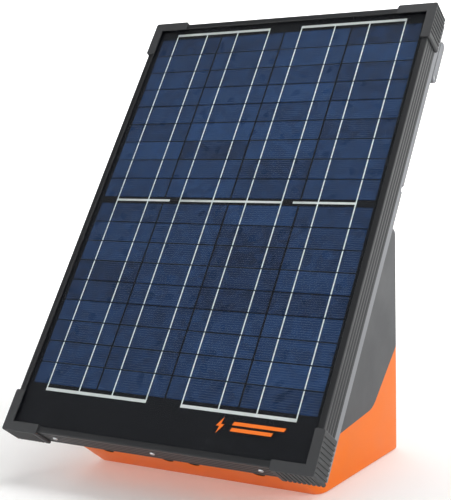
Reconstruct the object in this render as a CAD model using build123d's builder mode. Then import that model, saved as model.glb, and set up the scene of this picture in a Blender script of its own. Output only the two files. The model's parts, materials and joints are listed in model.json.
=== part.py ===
"""Solar fence energizer.

A framed solar panel stands on a two-part housing: an orange tub with the battery and the pulse
transformer, and a grey upper housing with the circuit board and the controls on its rear wall.
Millimetres, +Z up, panel facing -Y. The origin is the centre of the tub's flat bottom.
"""
import os
from math import cos, radians, sin

from build123d import *

# Driving dimensions -----------------------------------------------------------------------------
panel_angle = 55.0          # slope of the panel above the ground, degrees
panel_width = 340.0
panel_length = 500.0
frame_depth = 25.0
frame_wall = 1.6
frame_lip_width = 6.0
frame_lip_thickness = 1.8
frame_flange_width = 14.0
frame_groove_width = 1.1
frame_groove_depth = 0.5
frame_groove_count = 4
glass_thickness = 3.2
ribbon_thickness = 0.15
cell_thickness = 0.2
backsheet_thickness = 0.5
laminate_edge_gap = 0.5

cell_width = 78.0
cell_height = 22.3
cell_pitch_x = 80.0
cell_pitch_y = 23.5
cell_columns = 4
cell_rows_per_string = 9
string_gap = 8.5            # free band between the upper and lower cell strings
cell_field_rise = 16.5      # centre of the band above the panel centre
busbar_width = 1.6
busbar_offset = 20.0
cross_ribbon_width = 3.2
link_start = 72.5           # inner end of the middle links, from the panel's centre line
end_ribbon_width = 3.6

cap_wall = 2.5
cap_leg = 43.0
cap_lip_width = 10.0
cap_lip_thickness = 1.5
cap_back_reach = 0.8        # the cap runs on behind the frame's back by this
cap_rib_pitch = 4.6
cap_rib_groove = 1.9
cap_rib_depth = 0.9

tray_rim = 9.5
tray_inset = 0.5
tray_foot_inset = 4.0       # the tray's low edge stands back behind the low rail
tray_plate = 3.0
tray_wall = 3.0

base_width = 262.0
base_depth = 184.0
front_face_length = 74.0    # sloping front face of the tub, ground to tray
housing_slope_length = 297.0
panel_overhang = 12.0       # the panel's low edge beyond the sloping front face
housing_wall = 3.2
corner_radius = 10.0
base_edge_radius = 2.5

split_front_height = 39.0   # parting line of tub and housing at the front, knee and rear
split_knee_y = 24.0
split_knee_height = 57.5
split_rear_height = 118.0
split_knee_radius = 30.0
gasket_height = 2.4
gasket_skin = 1.6           # shell left outside the gasket

pocket_radius = 7.0
pocket_depth = 15.0
pocket_floor = 4.0
pocket_drop = 33.0
pocket_places = (-92.0, -20.0, 10.0, 82.0)
screw_radius = 2.0
screw_head_radius = 4.0
screw_head_height = 2.6
housing_screw_length = 26.0
boss_wall = 3.0

handle_arm_width = 8.0
handle_thickness = 10.5
handle_bar_height = 20.0
handle_top_drop = 17.0      # from the panel's top edge to the handle bar's upper edge
handle_pivot_drop = 61.0
handle_gap = 0.5
handle_pin_radius = 2.5
running_fit = 0.05
free_gap = 0.4

plate_width = 132.0
plate_height = 66.0
plate_thickness = 2.4
plate_recess = 1.2
plate_centre_height = 172.0
knob_radius = 17.0
knob_height = 13.0
knob_offset = 38.0
shaft_radius = 3.0
lens_radius = 2.5
lens_spacing = 14.0
button_radius = 6.0
button_travel = 1.5
button_offset = -42.0
board_width = 150.0
board_height = 84.0
board_thickness = 1.6
board_standoff = 26.0

terminal_spacing = 140.0
terminal_height = 66.0
insulator_radius = 16.0
insulator_height = 7.0
stud_radius = 3.0
stud_reach = 27.0
stud_tail = 12.0
stud_tip_radius = 2.5        # the free end is turned down for a clip or lead eye
stud_tip_length = 12.0
washer_radius = 9.0
washer_thickness = 1.6
clamp_knob_radius = 13.0
clamp_knob_height = 12.0

socket_radius = 9.0
socket_flange_radius = 12.5
socket_flange_height = 2.5
socket_bore_radius = 6.5
socket_bore_depth = 12.0
cap_pin_radius = 1.25
cap_thickness = 4.0

battery_length = 151.0
battery_depth = 98.0
battery_height = 94.0
battery_centre_y = -12.0
strap_width = 22.0
strap_thickness = 1.5

post_hole_radius = 3.2
post_hole_spacing = 160.0
post_hole_height = 26.0
post_hole_depth = 14.0

lead_radius = 1.5
panel_lead_radius = 2.2

# Places worked out from the driving dimensions --------------------------------------------------
slope = radians(panel_angle)
up_slope = Vector(0, cos(slope), sin(slope))
outward = Vector(0, -sin(slope), cos(slope))
front_foot = Vector(0, -base_depth / 2, 0)
low_edge = front_foot + outward * front_face_length
high_edge = low_edge + up_slope * housing_slope_length
rear_drop = (base_depth / 2 - high_edge.Y) / sin(slope)
rear_top = high_edge - outward * rear_drop
panel_centre = low_edge + up_slope * (panel_length / 2 - panel_overhang)

tray_back = Plane(origin=panel_centre, x_dir=(1, 0, 0), z_dir=outward)
front_face = Plane(origin=low_edge, x_dir=(1, 0, 0), z_dir=up_slope * -1)
rear_face = Plane(origin=(0, base_depth / 2, 0), x_dir=(-1, 0, 0), z_dir=(0, 1, 0))

frame_back = tray_rim
frame_front = frame_back + frame_depth
glass_front = frame_front - frame_lip_thickness
glass_back = glass_front - glass_thickness
ribbon_back = glass_back - ribbon_thickness
cell_back = ribbon_back - cell_thickness
backsheet_back = cell_back - backsheet_thickness
laminate_width = panel_width - 2 * (frame_wall + laminate_edge_gap)
laminate_length = panel_length - 2 * (frame_wall + laminate_edge_gap)

rear_inner = -housing_wall                       # inner side of the rear wall, from its outer face
board_front = rear_inner - board_standoff        # the board's face towards the rear wall
shell_depth = 2 * base_width                     # long enough to cut right across the housing


def save(builder, name):
    """Labels a finished piece and writes it as one STEP file."""
    builder.part.label = name
    export_step(builder.part, f"parts/{name}.step")


os.makedirs("parts", exist_ok=True)


# Solar panel ------------------------------------------------------------------------------------
def ring(plane, height, outer_inset, width):
    """Adds a rectangular ring of the panel's outline, moved in by outer_inset."""
    with BuildSketch(plane) as outline:
        Rectangle(panel_width - 2 * outer_inset, panel_length - 2 * outer_inset)
        Rectangle(
            panel_width - 2 * (outer_inset + width),
            panel_length - 2 * (outer_inset + width),
            mode=Mode.SUBTRACT,
        )
    extrude(outline.sketch, amount=height)


def frame_rail(wedge):
    """One mitred rail of the extruded frame: the part of the ring that lies in the wedge."""
    with BuildPart() as rail:
        ring(tray_back.offset(frame_back), frame_depth, 0, frame_wall)
        ring(tray_back.offset(glass_front), frame_lip_thickness, 0, frame_lip_width)
        ring(tray_back.offset(backsheet_back - frame_wall), frame_wall, 0, frame_lip_width)
        ring(tray_back.offset(frame_back), frame_wall, 0, frame_flange_width)
        groove_pitch = frame_depth / (frame_groove_count + 1)
        for index in range(frame_groove_count):
            level = frame_back + groove_pitch * (index + 1) - frame_groove_width / 2
            with BuildSketch(tray_back.offset(level)):
                Rectangle(panel_width, panel_length)
                Rectangle(
                    panel_width - 2 * frame_groove_depth,
                    panel_length - 2 * frame_groove_depth,
                    mode=Mode.SUBTRACT,
                )
            extrude(amount=frame_groove_width, mode=Mode.SUBTRACT)
        with BuildSketch(tray_back):
            with BuildLine():
                Polyline(*wedge, close=True)
            make_face()
        extrude(amount=2 * frame_front, mode=Mode.INTERSECT)
    return rail


half_width = panel_width / 2
half_length = panel_length / 2
mitre_reach = half_length - half_width
rail_wedges = {
    "frame_rail_top": [(-half_width, half_length), (half_width, half_length), (0, mitre_reach)],
    "frame_rail_bottom": [(half_width, -half_length), (-half_width, -half_length), (0, -mitre_reach)],
    "frame_rail_right": [
        (half_width, -half_length), (half_width, half_length), (0, mitre_reach), (0, -mitre_reach)
    ],
    "frame_rail_left": [
        (-half_width, half_length), (-half_width, -half_length), (0, -mitre_reach), (0, mitre_reach)
    ],
}
for rail_name, rail_wedge in rail_wedges.items():
    save(frame_rail(rail_wedge), rail_name)

with BuildPart() as solar_glass:
    with BuildSketch(tray_back.offset(glass_back)):
        Rectangle(laminate_width, laminate_length)
    extrude(amount=glass_thickness)
save(solar_glass, "solar_glass")

with BuildPart() as backsheet:
    with BuildSketch(tray_back.offset(backsheet_back)):
        Rectangle(laminate_width, laminate_length)
    extrude(amount=backsheet_thickness)
save(backsheet, "backsheet")

string_height = (cell_rows_per_string - 1) * cell_pitch_y + cell_height
string_shift = (string_height + string_gap) / 2
string_centres = (cell_field_rise + string_shift, cell_field_rise - string_shift)
field_top = cell_field_rise + string_shift + string_height / 2
field_bottom = cell_field_rise - string_shift - string_height / 2

with BuildPart() as solar_cells:
    with BuildSketch(tray_back.offset(cell_back)):
        for string_centre in string_centres:
            with Locations((0, string_centre)):
                with GridLocations(cell_pitch_x, cell_pitch_y, cell_columns, cell_rows_per_string):
                    Rectangle(cell_width, cell_height)
    extrude(amount=cell_thickness)
save(solar_cells, "solar_cells")

ribbon_gap = 5.6                       # from the cell field to the centre of an end ribbon
busbar_length = field_top - field_bottom + 2 * ribbon_gap + end_ribbon_width
pair_centre = cell_pitch_x
pair_span = cell_pitch_x + 2 * busbar_offset + busbar_width
link_end = 1.5 * cell_pitch_x + busbar_offset + busbar_width / 2
link_centre = (link_start + link_end) / 2
with BuildPart() as cell_ribbons:
    with BuildSketch(tray_back.offset(ribbon_back)):
        with Locations((0, cell_field_rise)):
            with GridLocations(cell_pitch_x, 0, cell_columns, 1):
                with GridLocations(2 * busbar_offset, 0, 2, 1):
                    Rectangle(busbar_width, busbar_length)
        for ribbon_height in (field_top + ribbon_gap, field_bottom - ribbon_gap):
            with Locations((-pair_centre, ribbon_height), (pair_centre, ribbon_height)):
                Rectangle(pair_span, end_ribbon_width)
        with Locations((0, cell_field_rise)):
            Rectangle(pair_span, cross_ribbon_width)
        with Locations((-link_centre, cell_field_rise), (link_centre, cell_field_rise)):
            Rectangle(link_end - link_start, cross_ribbon_width)
    extrude(amount=ribbon_thickness)
save(cell_ribbons, "cell_ribbons")


def corner_cap(side_x, side_y):
    """Ribbed corner protector that wraps the frame's corner; side_x and side_y are its signs."""
    corner_x = half_width + cap_wall
    corner_y = half_length + cap_wall
    cap_back = frame_back - cap_back_reach
    cap_front = frame_front + cap_lip_thickness
    with BuildPart() as cap:
        with BuildSketch(tray_back.offset(cap_back)):
            with Locations((side_x * (corner_x - cap_leg / 2), side_y * (corner_y - cap_leg / 2))):
                Rectangle(cap_leg, cap_leg)
        extrude(amount=cap_front - cap_back)
        fillet(cap.edges().filter_by(Axis(panel_centre, outward)), radius=2.0)
        with BuildSketch(tray_back.offset(cap_back)):
            Rectangle(panel_width, panel_length)
        extrude(amount=frame_front - cap_back, mode=Mode.SUBTRACT)
        with BuildSketch(tray_back.offset(frame_front)):
            Rectangle(
                2 * (corner_x - cap_lip_width),
                2 * (corner_y - cap_lip_width),
            )
        extrude(amount=2 * cap_lip_thickness, mode=Mode.SUBTRACT)
        rib_count = int((cap_leg - 2) / cap_rib_pitch)
        for index in range(rib_count):
            along = 3.0 + cap_rib_pitch * index + cap_rib_groove / 2
            with BuildSketch(tray_back.offset(cap_back)):
                with Locations(
                    (side_x * corner_x, side_y * (corner_y - along)),
                ):
                    Rectangle(2 * cap_rib_depth, cap_rib_groove)
                with Locations(
                    (side_x * (corner_x - along), side_y * corner_y),
                ):
                    Rectangle(cap_rib_groove, 2 * cap_rib_depth)
            extrude(amount=cap_front - cap_back - 1.2, mode=Mode.SUBTRACT)
    return cap


for row_name, side_y in (("top", 1), ("bottom", -1)):
    for column_name, side_x in (("right", 1), ("left", -1)):
        save(corner_cap(side_x, side_y), f"corner_cap_{row_name}_{column_name}")

side_plane = Plane(origin=panel_centre, x_dir=up_slope, z_dir=(1, 0, 0))

rivet_places = (-115.0, 0.0, 115.0)
rivet_radius = 2.6
rivet_height = 1.0
low_side = Plane(
    origin=panel_centre - up_slope * half_length,
    x_dir=(1, 0, 0),
    z_dir=up_slope * -1,
)
with BuildPart() as frame_rivets:
    with BuildSketch(low_side):
        with Locations(*[(place, frame_back + frame_depth * 0.5) for place in rivet_places]):
            Circle(rivet_radius)
    extrude(amount=rivet_height, taper=20)
save(frame_rivets, "frame_rivets")

# Panel tray -------------------------------------------------------------------------------------
arm_outer = half_width - tray_inset
arm_inner = arm_outer - handle_arm_width
lug_outer = arm_inner - free_gap
lug_width = 8.0
lug_radius = 5.0
pivot_along = half_length - handle_pivot_drop
pivot_out = -(handle_gap + handle_thickness / 2)
bar_top = half_length - handle_top_drop
housing_top_along = housing_slope_length + panel_overhang - half_length
housing_foot_along = panel_overhang - half_length
upper_bolt_along = housing_top_along - 29.0
lower_bolt_along = housing_foot_along + 43.0
bolt_places = [
    (-90.0, upper_bolt_along),
    (90.0, upper_bolt_along),
    (-50.0, lower_bolt_along),
    (50.0, lower_bolt_along),
]
bolt_radius = 2.5
bolt_head_radius = 4.5
bolt_head_height = 3.0
lead_hole_along = housing_top_along - 24.0
lead_hole_radius = 6.0
notch_along = housing_top_along - 8.0
notch_length = 7.0
rib_thickness = 2.0

tray_length = panel_length - tray_inset - tray_foot_inset
tray_centre = (tray_foot_inset - tray_inset) / 2

with BuildPart() as panel_tray:
    with BuildSketch(tray_back):
        with Locations((0, tray_centre)):
            Rectangle(panel_width - 2 * tray_inset, tray_length)
    extrude(amount=tray_rim)
    fillet(panel_tray.faces().sort_by(Axis(panel_centre, outward))[0].edges(), radius=1.5)
    with BuildSketch(tray_back.offset(tray_plate)):
        with Locations((0, tray_centre)):
            Rectangle(
                panel_width - 2 * (tray_inset + tray_wall),
                tray_length - 2 * tray_wall,
            )
    extrude(amount=tray_rim, mode=Mode.SUBTRACT)
    with BuildSketch(tray_back.offset(tray_plate)):
        with Locations((-110, tray_centre), (0, tray_centre), (110, tray_centre)):
            Rectangle(rib_thickness, tray_length - tray_wall)
        with GridLocations(0, 120, 1, 5):
            Rectangle(panel_width - 2 * tray_wall, rib_thickness)
        with Locations((0, lead_hole_along)):
            Rectangle(40, 60, mode=Mode.SUBTRACT)
        with Locations(*bolt_places):
            Circle(bolt_head_radius + 3, mode=Mode.SUBTRACT)
    extrude(amount=tray_rim - tray_plate)
    for lug_side in (-1, 1):
        with BuildSketch(side_plane.offset(lug_side * (lug_outer - lug_width / 2) - lug_width / 2)):
            with Locations((pivot_along, pivot_out)):
                Circle(lug_radius)
            with Locations((pivot_along, pivot_out / 2)):
                Rectangle(2 * lug_radius, -pivot_out)
        extrude(amount=lug_width)
    with BuildSketch(side_plane.offset(-half_width)):
        with Locations((pivot_along, pivot_out)):
            Circle(handle_pin_radius)
    extrude(amount=panel_width, mode=Mode.SUBTRACT)
    with BuildSketch(tray_back):
        with Locations(*bolt_places):
            Circle(bolt_radius)
        with Locations((0, lead_hole_along)):
            Circle(lead_hole_radius)
    extrude(amount=tray_plate, mode=Mode.SUBTRACT)
    with BuildSketch(tray_back):
        with Locations((half_width, notch_along), (-half_width, notch_along)):
            Rectangle(2 * (tray_inset + 2), notch_length)
    extrude(amount=tray_rim * 0.45, mode=Mode.SUBTRACT)
save(panel_tray, "panel_tray")

with BuildPart() as panel_bolts:
    with BuildSketch(tray_back.offset(tray_plate)):
        with Locations(*bolt_places):
            Circle(bolt_head_radius)
    extrude(amount=bolt_head_height)
    with BuildSketch(tray_back.offset(tray_plate)):
        with Locations(*bolt_places):
            Circle(bolt_radius)
    extrude(amount=-(tray_plate + housing_wall + 7))
save(panel_bolts, "panel_bolts")

nut_height = 4.0
with BuildPart() as panel_nuts:
    with BuildSketch(tray_back.offset(-housing_wall)):
        with Locations(*bolt_places):
            RegularPolygon(4.6, 6)
            Circle(bolt_radius, mode=Mode.SUBTRACT)
    extrude(amount=-nut_height)
save(panel_nuts, "panel_nuts")

junction_width = 62.0
junction_length = 80.0
junction_depth = 14.0
junction_along = 150.0
junction_wall = 2.0
with BuildPart() as junction_box:
    with BuildSketch(tray_back.offset(backsheet_back - junction_depth)):
        with Locations((0, junction_along)):
            RectangleRounded(junction_width, junction_length, 5)
    extrude(amount=junction_depth)
    with BuildSketch(tray_back.offset(backsheet_back - junction_depth)):
        with Locations((0, junction_along)):
            RectangleRounded(junction_width - 2 * junction_wall, junction_length - 2 * junction_wall, 3)
    extrude(amount=junction_depth - junction_wall, mode=Mode.SUBTRACT)
    gland_plane = Plane(
        origin=tray_back.from_local_coords(
            (0, junction_along - junction_length / 2, backsheet_back - junction_depth / 2)
        ),
        x_dir=(1, 0, 0),
        z_dir=up_slope,
    )
    with BuildSketch(gland_plane):
        Circle(panel_lead_radius)
    extrude(amount=junction_wall, mode=Mode.SUBTRACT)
save(junction_box, "junction_box")

with BuildPart() as junction_lid:
    with BuildSketch(tray_back.offset(backsheet_back - junction_depth)):
        with Locations((0, junction_along)):
            RectangleRounded(junction_width, junction_length, 5)
    extrude(amount=-junction_wall)
save(junction_lid, "junction_lid")

# Carrying handle --------------------------------------------------------------------------------
with BuildPart() as carry_handle:
    for arm_side in (-1, 1):
        arm_middle = arm_side * (arm_outer - handle_arm_width / 2)
        with BuildSketch(side_plane.offset(arm_middle - handle_arm_width / 2)):
            with Locations((pivot_along, pivot_out)):
                Circle(handle_thickness / 2)
            with Locations(((pivot_along + bar_top) / 2, pivot_out)):
                Rectangle(bar_top - pivot_along, handle_thickness)
        extrude(amount=handle_arm_width)
    with BuildSketch(tray_back.offset(-handle_gap)):
        with Locations((0, bar_top - handle_bar_height / 2)):
            Rectangle(2 * arm_outer, handle_bar_height)
    extrude(amount=-handle_thickness)
    bar_edges = carry_handle.edges().filter_by(Axis.X)
    fillet(bar_edges.group_by(Axis(panel_centre, up_slope))[-1], radius=4.5)
    grip_length = 2 * arm_inner
    grip_edges = carry_handle.edges().filter_by(Axis.X).filter_by(
        lambda edge: abs(edge.length - grip_length) < 0.1
    )
    fillet(grip_edges, radius=3.5)
    with BuildSketch(side_plane.offset(-half_width)):
        with Locations((pivot_along, pivot_out)):
            Circle(handle_pin_radius + running_fit)
    extrude(amount=panel_width, mode=Mode.SUBTRACT)
save(carry_handle, "carry_handle")

with BuildPart() as handle_pins:
    for pin_side in (-1, 1):
        pin_middle = pin_side * (arm_outer - (handle_arm_width + free_gap + lug_width) / 2)
        pin_length = handle_arm_width + free_gap + lug_width - 1
        with BuildSketch(side_plane.offset(pin_middle - pin_length / 2)):
            with Locations((pivot_along, pivot_out)):
                Circle(handle_pin_radius)
        extrude(amount=pin_length)
save(handle_pins, "handle_pins")


# Housing shells ---------------------------------------------------------------------------------
def housing_block(inset):
    """The whole housing body as one block, moved in by inset on every side."""
    with BuildPart() as block:
        with BuildSketch(Plane.YZ.offset(inset - base_width / 2)):
            with BuildLine():
                Polyline(
                    (front_foot.Y, 0),
                    (base_depth / 2, 0),
                    (rear_top.Y, rear_top.Z),
                    (high_edge.Y, high_edge.Z),
                    (low_edge.Y, low_edge.Z),
                    close=True,
                )
            make_face()
            if inset > 0:
                offset(amount=-inset, kind=Kind.INTERSECTION)
        extrude(amount=base_width - 2 * inset)
        cross_edges = block.edges().filter_by(Axis.X)
        rear_edges = cross_edges.group_by(Axis.Y)[-1]
        rounded = block.edges().filter_by(Axis.Z)
        rounded += block.edges().filter_by(Axis(high_edge, outward))
        rounded += rear_edges.sort_by(Axis.Z)[-1:]
        fillet(rounded, radius=corner_radius - inset)
        if inset == 0:
            fillet(block.faces().sort_by(Axis.Z)[0].edges(), radius=base_edge_radius)
    return block.part


def split_block(upper, rise):
    """Everything above or below the parting surface, which is raised by rise."""
    front = Vector(low_edge.Y, split_front_height + rise)
    knee = Vector(split_knee_y, split_knee_height + rise)
    rear = Vector(base_depth / 2, split_rear_height + rise)
    start = front + (front - knee)
    end = rear + (rear - knee)
    reach = shell_depth if upper else -shell_depth
    with BuildPart() as block:
        with BuildSketch(Plane.YZ.offset(-shell_depth / 2)):
            with BuildLine():
                parting = FilletPolyline(start, knee, end, radius=split_knee_radius)
                Polyline(parting @ 1, (end.X, reach), (start.X, reach), parting @ 0)
            make_face()
        extrude(amount=shell_depth)
    return block.part


outer_block = housing_block(0)
cavity_block = housing_block(housing_wall)
gasket_block = housing_block(gasket_skin)
above_split = split_block(True, 0)
below_split = split_block(False, 0)
above_gasket = split_block(True, gasket_height)

pocket_points = [(place, -pocket_drop) for place in pocket_places]
terminal_points = [(-terminal_spacing / 2, terminal_height), (terminal_spacing / 2, terminal_height)]
post_points = [(-post_hole_spacing / 2, post_hole_height), (post_hole_spacing / 2, post_hole_height)]
spigot_radius = 8.0
cradle_wall = 2.0
cradle_gap = 0.5
cradle_height = 12.0
strap_post_x = battery_length / 2 + strap_thickness + 10.5
strap_post_radius = 5.0
strap_post_height = 30.0
strap_screw_radius = 1.8
strap_screw_depth = 12.0
floor = Plane.XY.offset(housing_wall)

with BuildPart() as base_tub:
    add(outer_block)
    add(cavity_block, mode=Mode.SUBTRACT)
    with BuildSketch(front_face):
        with Locations(*pocket_points):
            Circle(pocket_radius + boss_wall)
    extrude(amount=-(pocket_depth + pocket_floor))
    with BuildSketch(floor):
        with Locations((0, battery_centre_y)):
            Rectangle(
                battery_length + 2 * (cradle_gap + cradle_wall),
                battery_depth + 2 * (cradle_gap + cradle_wall),
            )
            Rectangle(
                battery_length + 2 * cradle_gap,
                battery_depth + 2 * cradle_gap,
                mode=Mode.SUBTRACT,
            )
            Rectangle(2 * strap_post_x, strap_width + 4, mode=Mode.SUBTRACT)
    extrude(amount=cradle_height)
    with BuildSketch(floor):
        with Locations((-strap_post_x, battery_centre_y), (strap_post_x, battery_centre_y)):
            Circle(strap_post_radius)
    extrude(amount=strap_post_height)
    with BuildSketch(floor.offset(strap_post_height)):
        with Locations((-strap_post_x, battery_centre_y), (strap_post_x, battery_centre_y)):
            Circle(strap_screw_radius)
    extrude(amount=-strap_screw_depth, mode=Mode.SUBTRACT)
    with BuildSketch(rear_face.offset(rear_inner)):
        with Locations(*post_points):
            Circle(post_hole_radius + boss_wall)
    extrude(amount=-post_hole_depth)
    with BuildSketch(rear_face):
        with Locations(*post_points):
            Circle(post_hole_radius)
    extrude(amount=-post_hole_depth, mode=Mode.SUBTRACT)
    with BuildSketch(rear_face):
        with Locations(*terminal_points):
            Circle(spigot_radius)
        with Locations((0, terminal_height)):
            Circle(socket_radius)
    extrude(amount=-housing_wall, mode=Mode.SUBTRACT)
    with BuildSketch(front_face):
        with Locations(*pocket_points):
            Circle(pocket_radius)
    extrude(amount=-pocket_depth, mode=Mode.SUBTRACT)
    with BuildSketch(front_face):
        with Locations(*pocket_points):
            Circle(screw_radius + free_gap)
    extrude(amount=-(pocket_depth + pocket_floor), mode=Mode.SUBTRACT)
    add(above_split, mode=Mode.SUBTRACT)
save(base_tub, "base_tub")

board_hole_points = [
    (side_x * (board_width / 2 - 6), plate_centre_height + side_z * (board_height / 2 - 6))
    for side_x in (-1, 1)
    for side_z in (-1, 1)
]
knob_point = (knob_offset, plate_centre_height)
button_point = (button_offset, plate_centre_height - 12)
lens_points = [
    (button_offset + lens_spacing * step, plate_centre_height + 14) for step in (-1, 0, 1)
]
plate_screw_points = [
    (side_x * (plate_width / 2 - 7), plate_centre_height + side_z * (plate_height / 2 - 7))
    for side_x in (-1, 1)
    for side_z in (-1, 1)
]
plate_screw_radius = 1.5
board_post_radius = 4.0
web_thickness = 4.0

with BuildPart() as housing_gasket:
    add(gasket_block)
    add(cavity_block, mode=Mode.SUBTRACT)
    add(below_split, mode=Mode.SUBTRACT)
    add(above_gasket, mode=Mode.SUBTRACT)
save(housing_gasket, "housing_gasket")

with BuildPart() as upper_housing:
    add(outer_block)
    add(cavity_block, mode=Mode.SUBTRACT)
    with BuildSketch(rear_face.offset(rear_inner)):
        with Locations(*board_hole_points):
            Circle(board_post_radius)
    extrude(amount=-board_standoff)
    with BuildSketch(front_face.offset(-(pocket_depth - 2))):
        with Locations(*pocket_points):
            Circle(screw_radius + boss_wall)
        with Locations(*[(place, -pocket_drop / 2) for place in pocket_places]):
            Rectangle(web_thickness, pocket_drop - housing_wall)
    extrude(amount=-(housing_screw_length + 4))
    with BuildSketch(rear_face):
        with Locations((0, plate_centre_height)):
            RectangleRounded(plate_width + 1, plate_height + 1, 6.5)
    extrude(amount=-plate_recess, mode=Mode.SUBTRACT)
    with BuildSketch(rear_face):
        with Locations(knob_point):
            Circle(shaft_radius + free_gap)
        with Locations(button_point):
            Circle(button_radius + free_gap)
        with Locations(*lens_points):
            Circle(lens_radius)
        with Locations(*plate_screw_points):
            Circle(plate_screw_radius)
    extrude(amount=-housing_wall, mode=Mode.SUBTRACT)
    with BuildSketch(tray_back):
        with Locations(*bolt_places):
            Circle(bolt_radius)
        with Locations((0, lead_hole_along)):
            Circle(lead_hole_radius)
    extrude(amount=-housing_wall, mode=Mode.SUBTRACT)
    with BuildSketch(rear_face.offset(board_front)):
        with Locations(*board_hole_points):
            Circle(plate_screw_radius)
    extrude(amount=8, mode=Mode.SUBTRACT)
    with BuildSketch(front_face):
        with Locations(*pocket_points):
            Circle(screw_radius)
    extrude(amount=-(pocket_depth + housing_screw_length), mode=Mode.SUBTRACT)
    add(below_split, mode=Mode.SUBTRACT)
    add(housing_gasket.part, mode=Mode.SUBTRACT)
save(upper_housing, "upper_housing")

with BuildPart() as housing_screws:
    with BuildSketch(front_face.offset(-pocket_depth)):
        with Locations(*pocket_points):
            Circle(screw_head_radius)
    extrude(amount=screw_head_height)
    with BuildSketch(front_face.offset(-pocket_depth)):
        with Locations(*pocket_points):
            Circle(screw_radius)
    extrude(amount=-housing_screw_length)
    with BuildSketch(front_face.offset(screw_head_height - pocket_depth)):
        with Locations(*pocket_points):
            Rectangle(4.6, 1.1)
            Rectangle(1.1, 4.6)
    extrude(amount=-1.2, mode=Mode.SUBTRACT)
save(housing_screws, "housing_screws")

# Controls on the rear wall ----------------------------------------------------------------------
plate_outer = plate_thickness - plate_recess
switch_radius = 11.0
switch_depth = 13.0
with BuildPart() as control_plate:
    with BuildSketch(rear_face.offset(-plate_recess)):
        with Locations((0, plate_centre_height)):
            RectangleRounded(plate_width, plate_height, 6)
        with Locations(knob_point):
            Circle(shaft_radius + free_gap, mode=Mode.SUBTRACT)
        with Locations(button_point):
            Circle(button_radius + free_gap, mode=Mode.SUBTRACT)
        with Locations(*lens_points):
            Circle(lens_radius, mode=Mode.SUBTRACT)
        with Locations(*plate_screw_points):
            Circle(plate_screw_radius, mode=Mode.SUBTRACT)
    extrude(amount=plate_thickness)
save(control_plate, "control_plate")

with BuildPart() as plate_screws:
    with BuildSketch(rear_face.offset(plate_outer)):
        with Locations(*plate_screw_points):
            Circle(2.8)
    extrude(amount=1.4, taper=15)
    with BuildSketch(rear_face.offset(plate_outer)):
        with Locations(*plate_screw_points):
            Circle(plate_screw_radius)
    extrude(amount=-(plate_thickness + housing_wall - plate_recess + 3))
save(plate_screws, "plate_screws")

knob_base = plate_outer + free_gap
knob_skirt = 3.0
grip_width = 9.0
with BuildPart() as mode_knob:
    with BuildSketch(rear_face.offset(knob_base)):
        with Locations(knob_point):
            Circle(knob_radius)
    extrude(amount=knob_skirt, taper=6)
    with BuildSketch(rear_face.offset(knob_base + knob_skirt)):
        with Locations(knob_point):
            SlotOverall(2 * knob_radius - 5, grip_width, rotation=90)
    extrude(amount=knob_height - knob_skirt, taper=4)
    with BuildSketch(rear_face.offset(knob_base)):
        with Locations(knob_point):
            Circle(shaft_radius)
    extrude(amount=knob_height - 3, mode=Mode.SUBTRACT)
    fillet(mode_knob.faces().sort_by(Axis.Y)[-1].edges(), radius=0.8)
save(mode_knob, "mode_knob")

with BuildPart() as switch_shaft:
    with BuildSketch(rear_face.offset(knob_base + knob_height - 3)):
        with Locations(knob_point):
            Circle(shaft_radius)
    extrude(amount=-(knob_base + knob_height - 3 + housing_wall + switch_depth + 1))
save(switch_shaft, "switch_shaft")

with BuildPart() as rotary_switch:
    with BuildSketch(rear_face.offset(rear_inner)):
        with Locations(knob_point):
            Circle(switch_radius)
            Circle(shaft_radius + running_fit, mode=Mode.SUBTRACT)
    extrude(amount=-switch_depth)
save(rotary_switch, "rotary_switch")

with BuildPart() as status_lenses:
    with BuildSketch(rear_face.offset(board_front + 2)):
        with Locations(*lens_points):
            Circle(lens_radius)
    extrude(amount=plate_outer + 1 - board_front - 2)
    fillet(status_lenses.faces().group_by(Axis.Y)[-1].edges(), radius=0.8)
save(status_lenses, "status_lenses")

button_proud = 2.6
button_flange = 2.0
button_switch_height = 6.0
with BuildPart() as test_button:
    with BuildSketch(rear_face.offset(rear_inner - free_gap)):
        with Locations(button_point):
            Circle(button_radius)
    extrude(amount=plate_outer + button_proud - rear_inner + free_gap)
    fillet(test_button.faces().sort_by(Axis.Y)[-1].edges(), radius=1.0)
    with BuildSketch(rear_face.offset(rear_inner - free_gap)):
        with Locations(button_point):
            Circle(button_radius + 2)
    extrude(amount=-button_flange)
    with BuildSketch(rear_face.offset(rear_inner - free_gap - button_flange)):
        with Locations(button_point):
            Circle(2)
    stem_end = board_front + button_switch_height + button_travel + free_gap
    extrude(amount=stem_end - rear_inner + free_gap + button_flange)
save(test_button, "test_button")

with BuildPart() as button_switch:
    with BuildSketch(rear_face.offset(board_front)):
        with Locations(button_point):
            Rectangle(7, 7)
    extrude(amount=button_switch_height)
save(button_switch, "button_switch")

with BuildPart() as circuit_board:
    with BuildSketch(rear_face.offset(board_front)):
        with Locations((0, plate_centre_height)):
            Rectangle(board_width, board_height)
        with Locations(*board_hole_points):
            Circle(plate_screw_radius, mode=Mode.SUBTRACT)
    extrude(amount=-board_thickness)
save(circuit_board, "circuit_board")

board_back = board_front - board_thickness
with BuildPart() as board_screws:
    with BuildSketch(rear_face.offset(board_back)):
        with Locations(*board_hole_points):
            Circle(2.8)
    extrude(amount=-2)
    with BuildSketch(rear_face.offset(board_back)):
        with Locations(*board_hole_points):
            Circle(plate_screw_radius)
    extrude(amount=board_thickness + 6)
save(board_screws, "board_screws")

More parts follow.
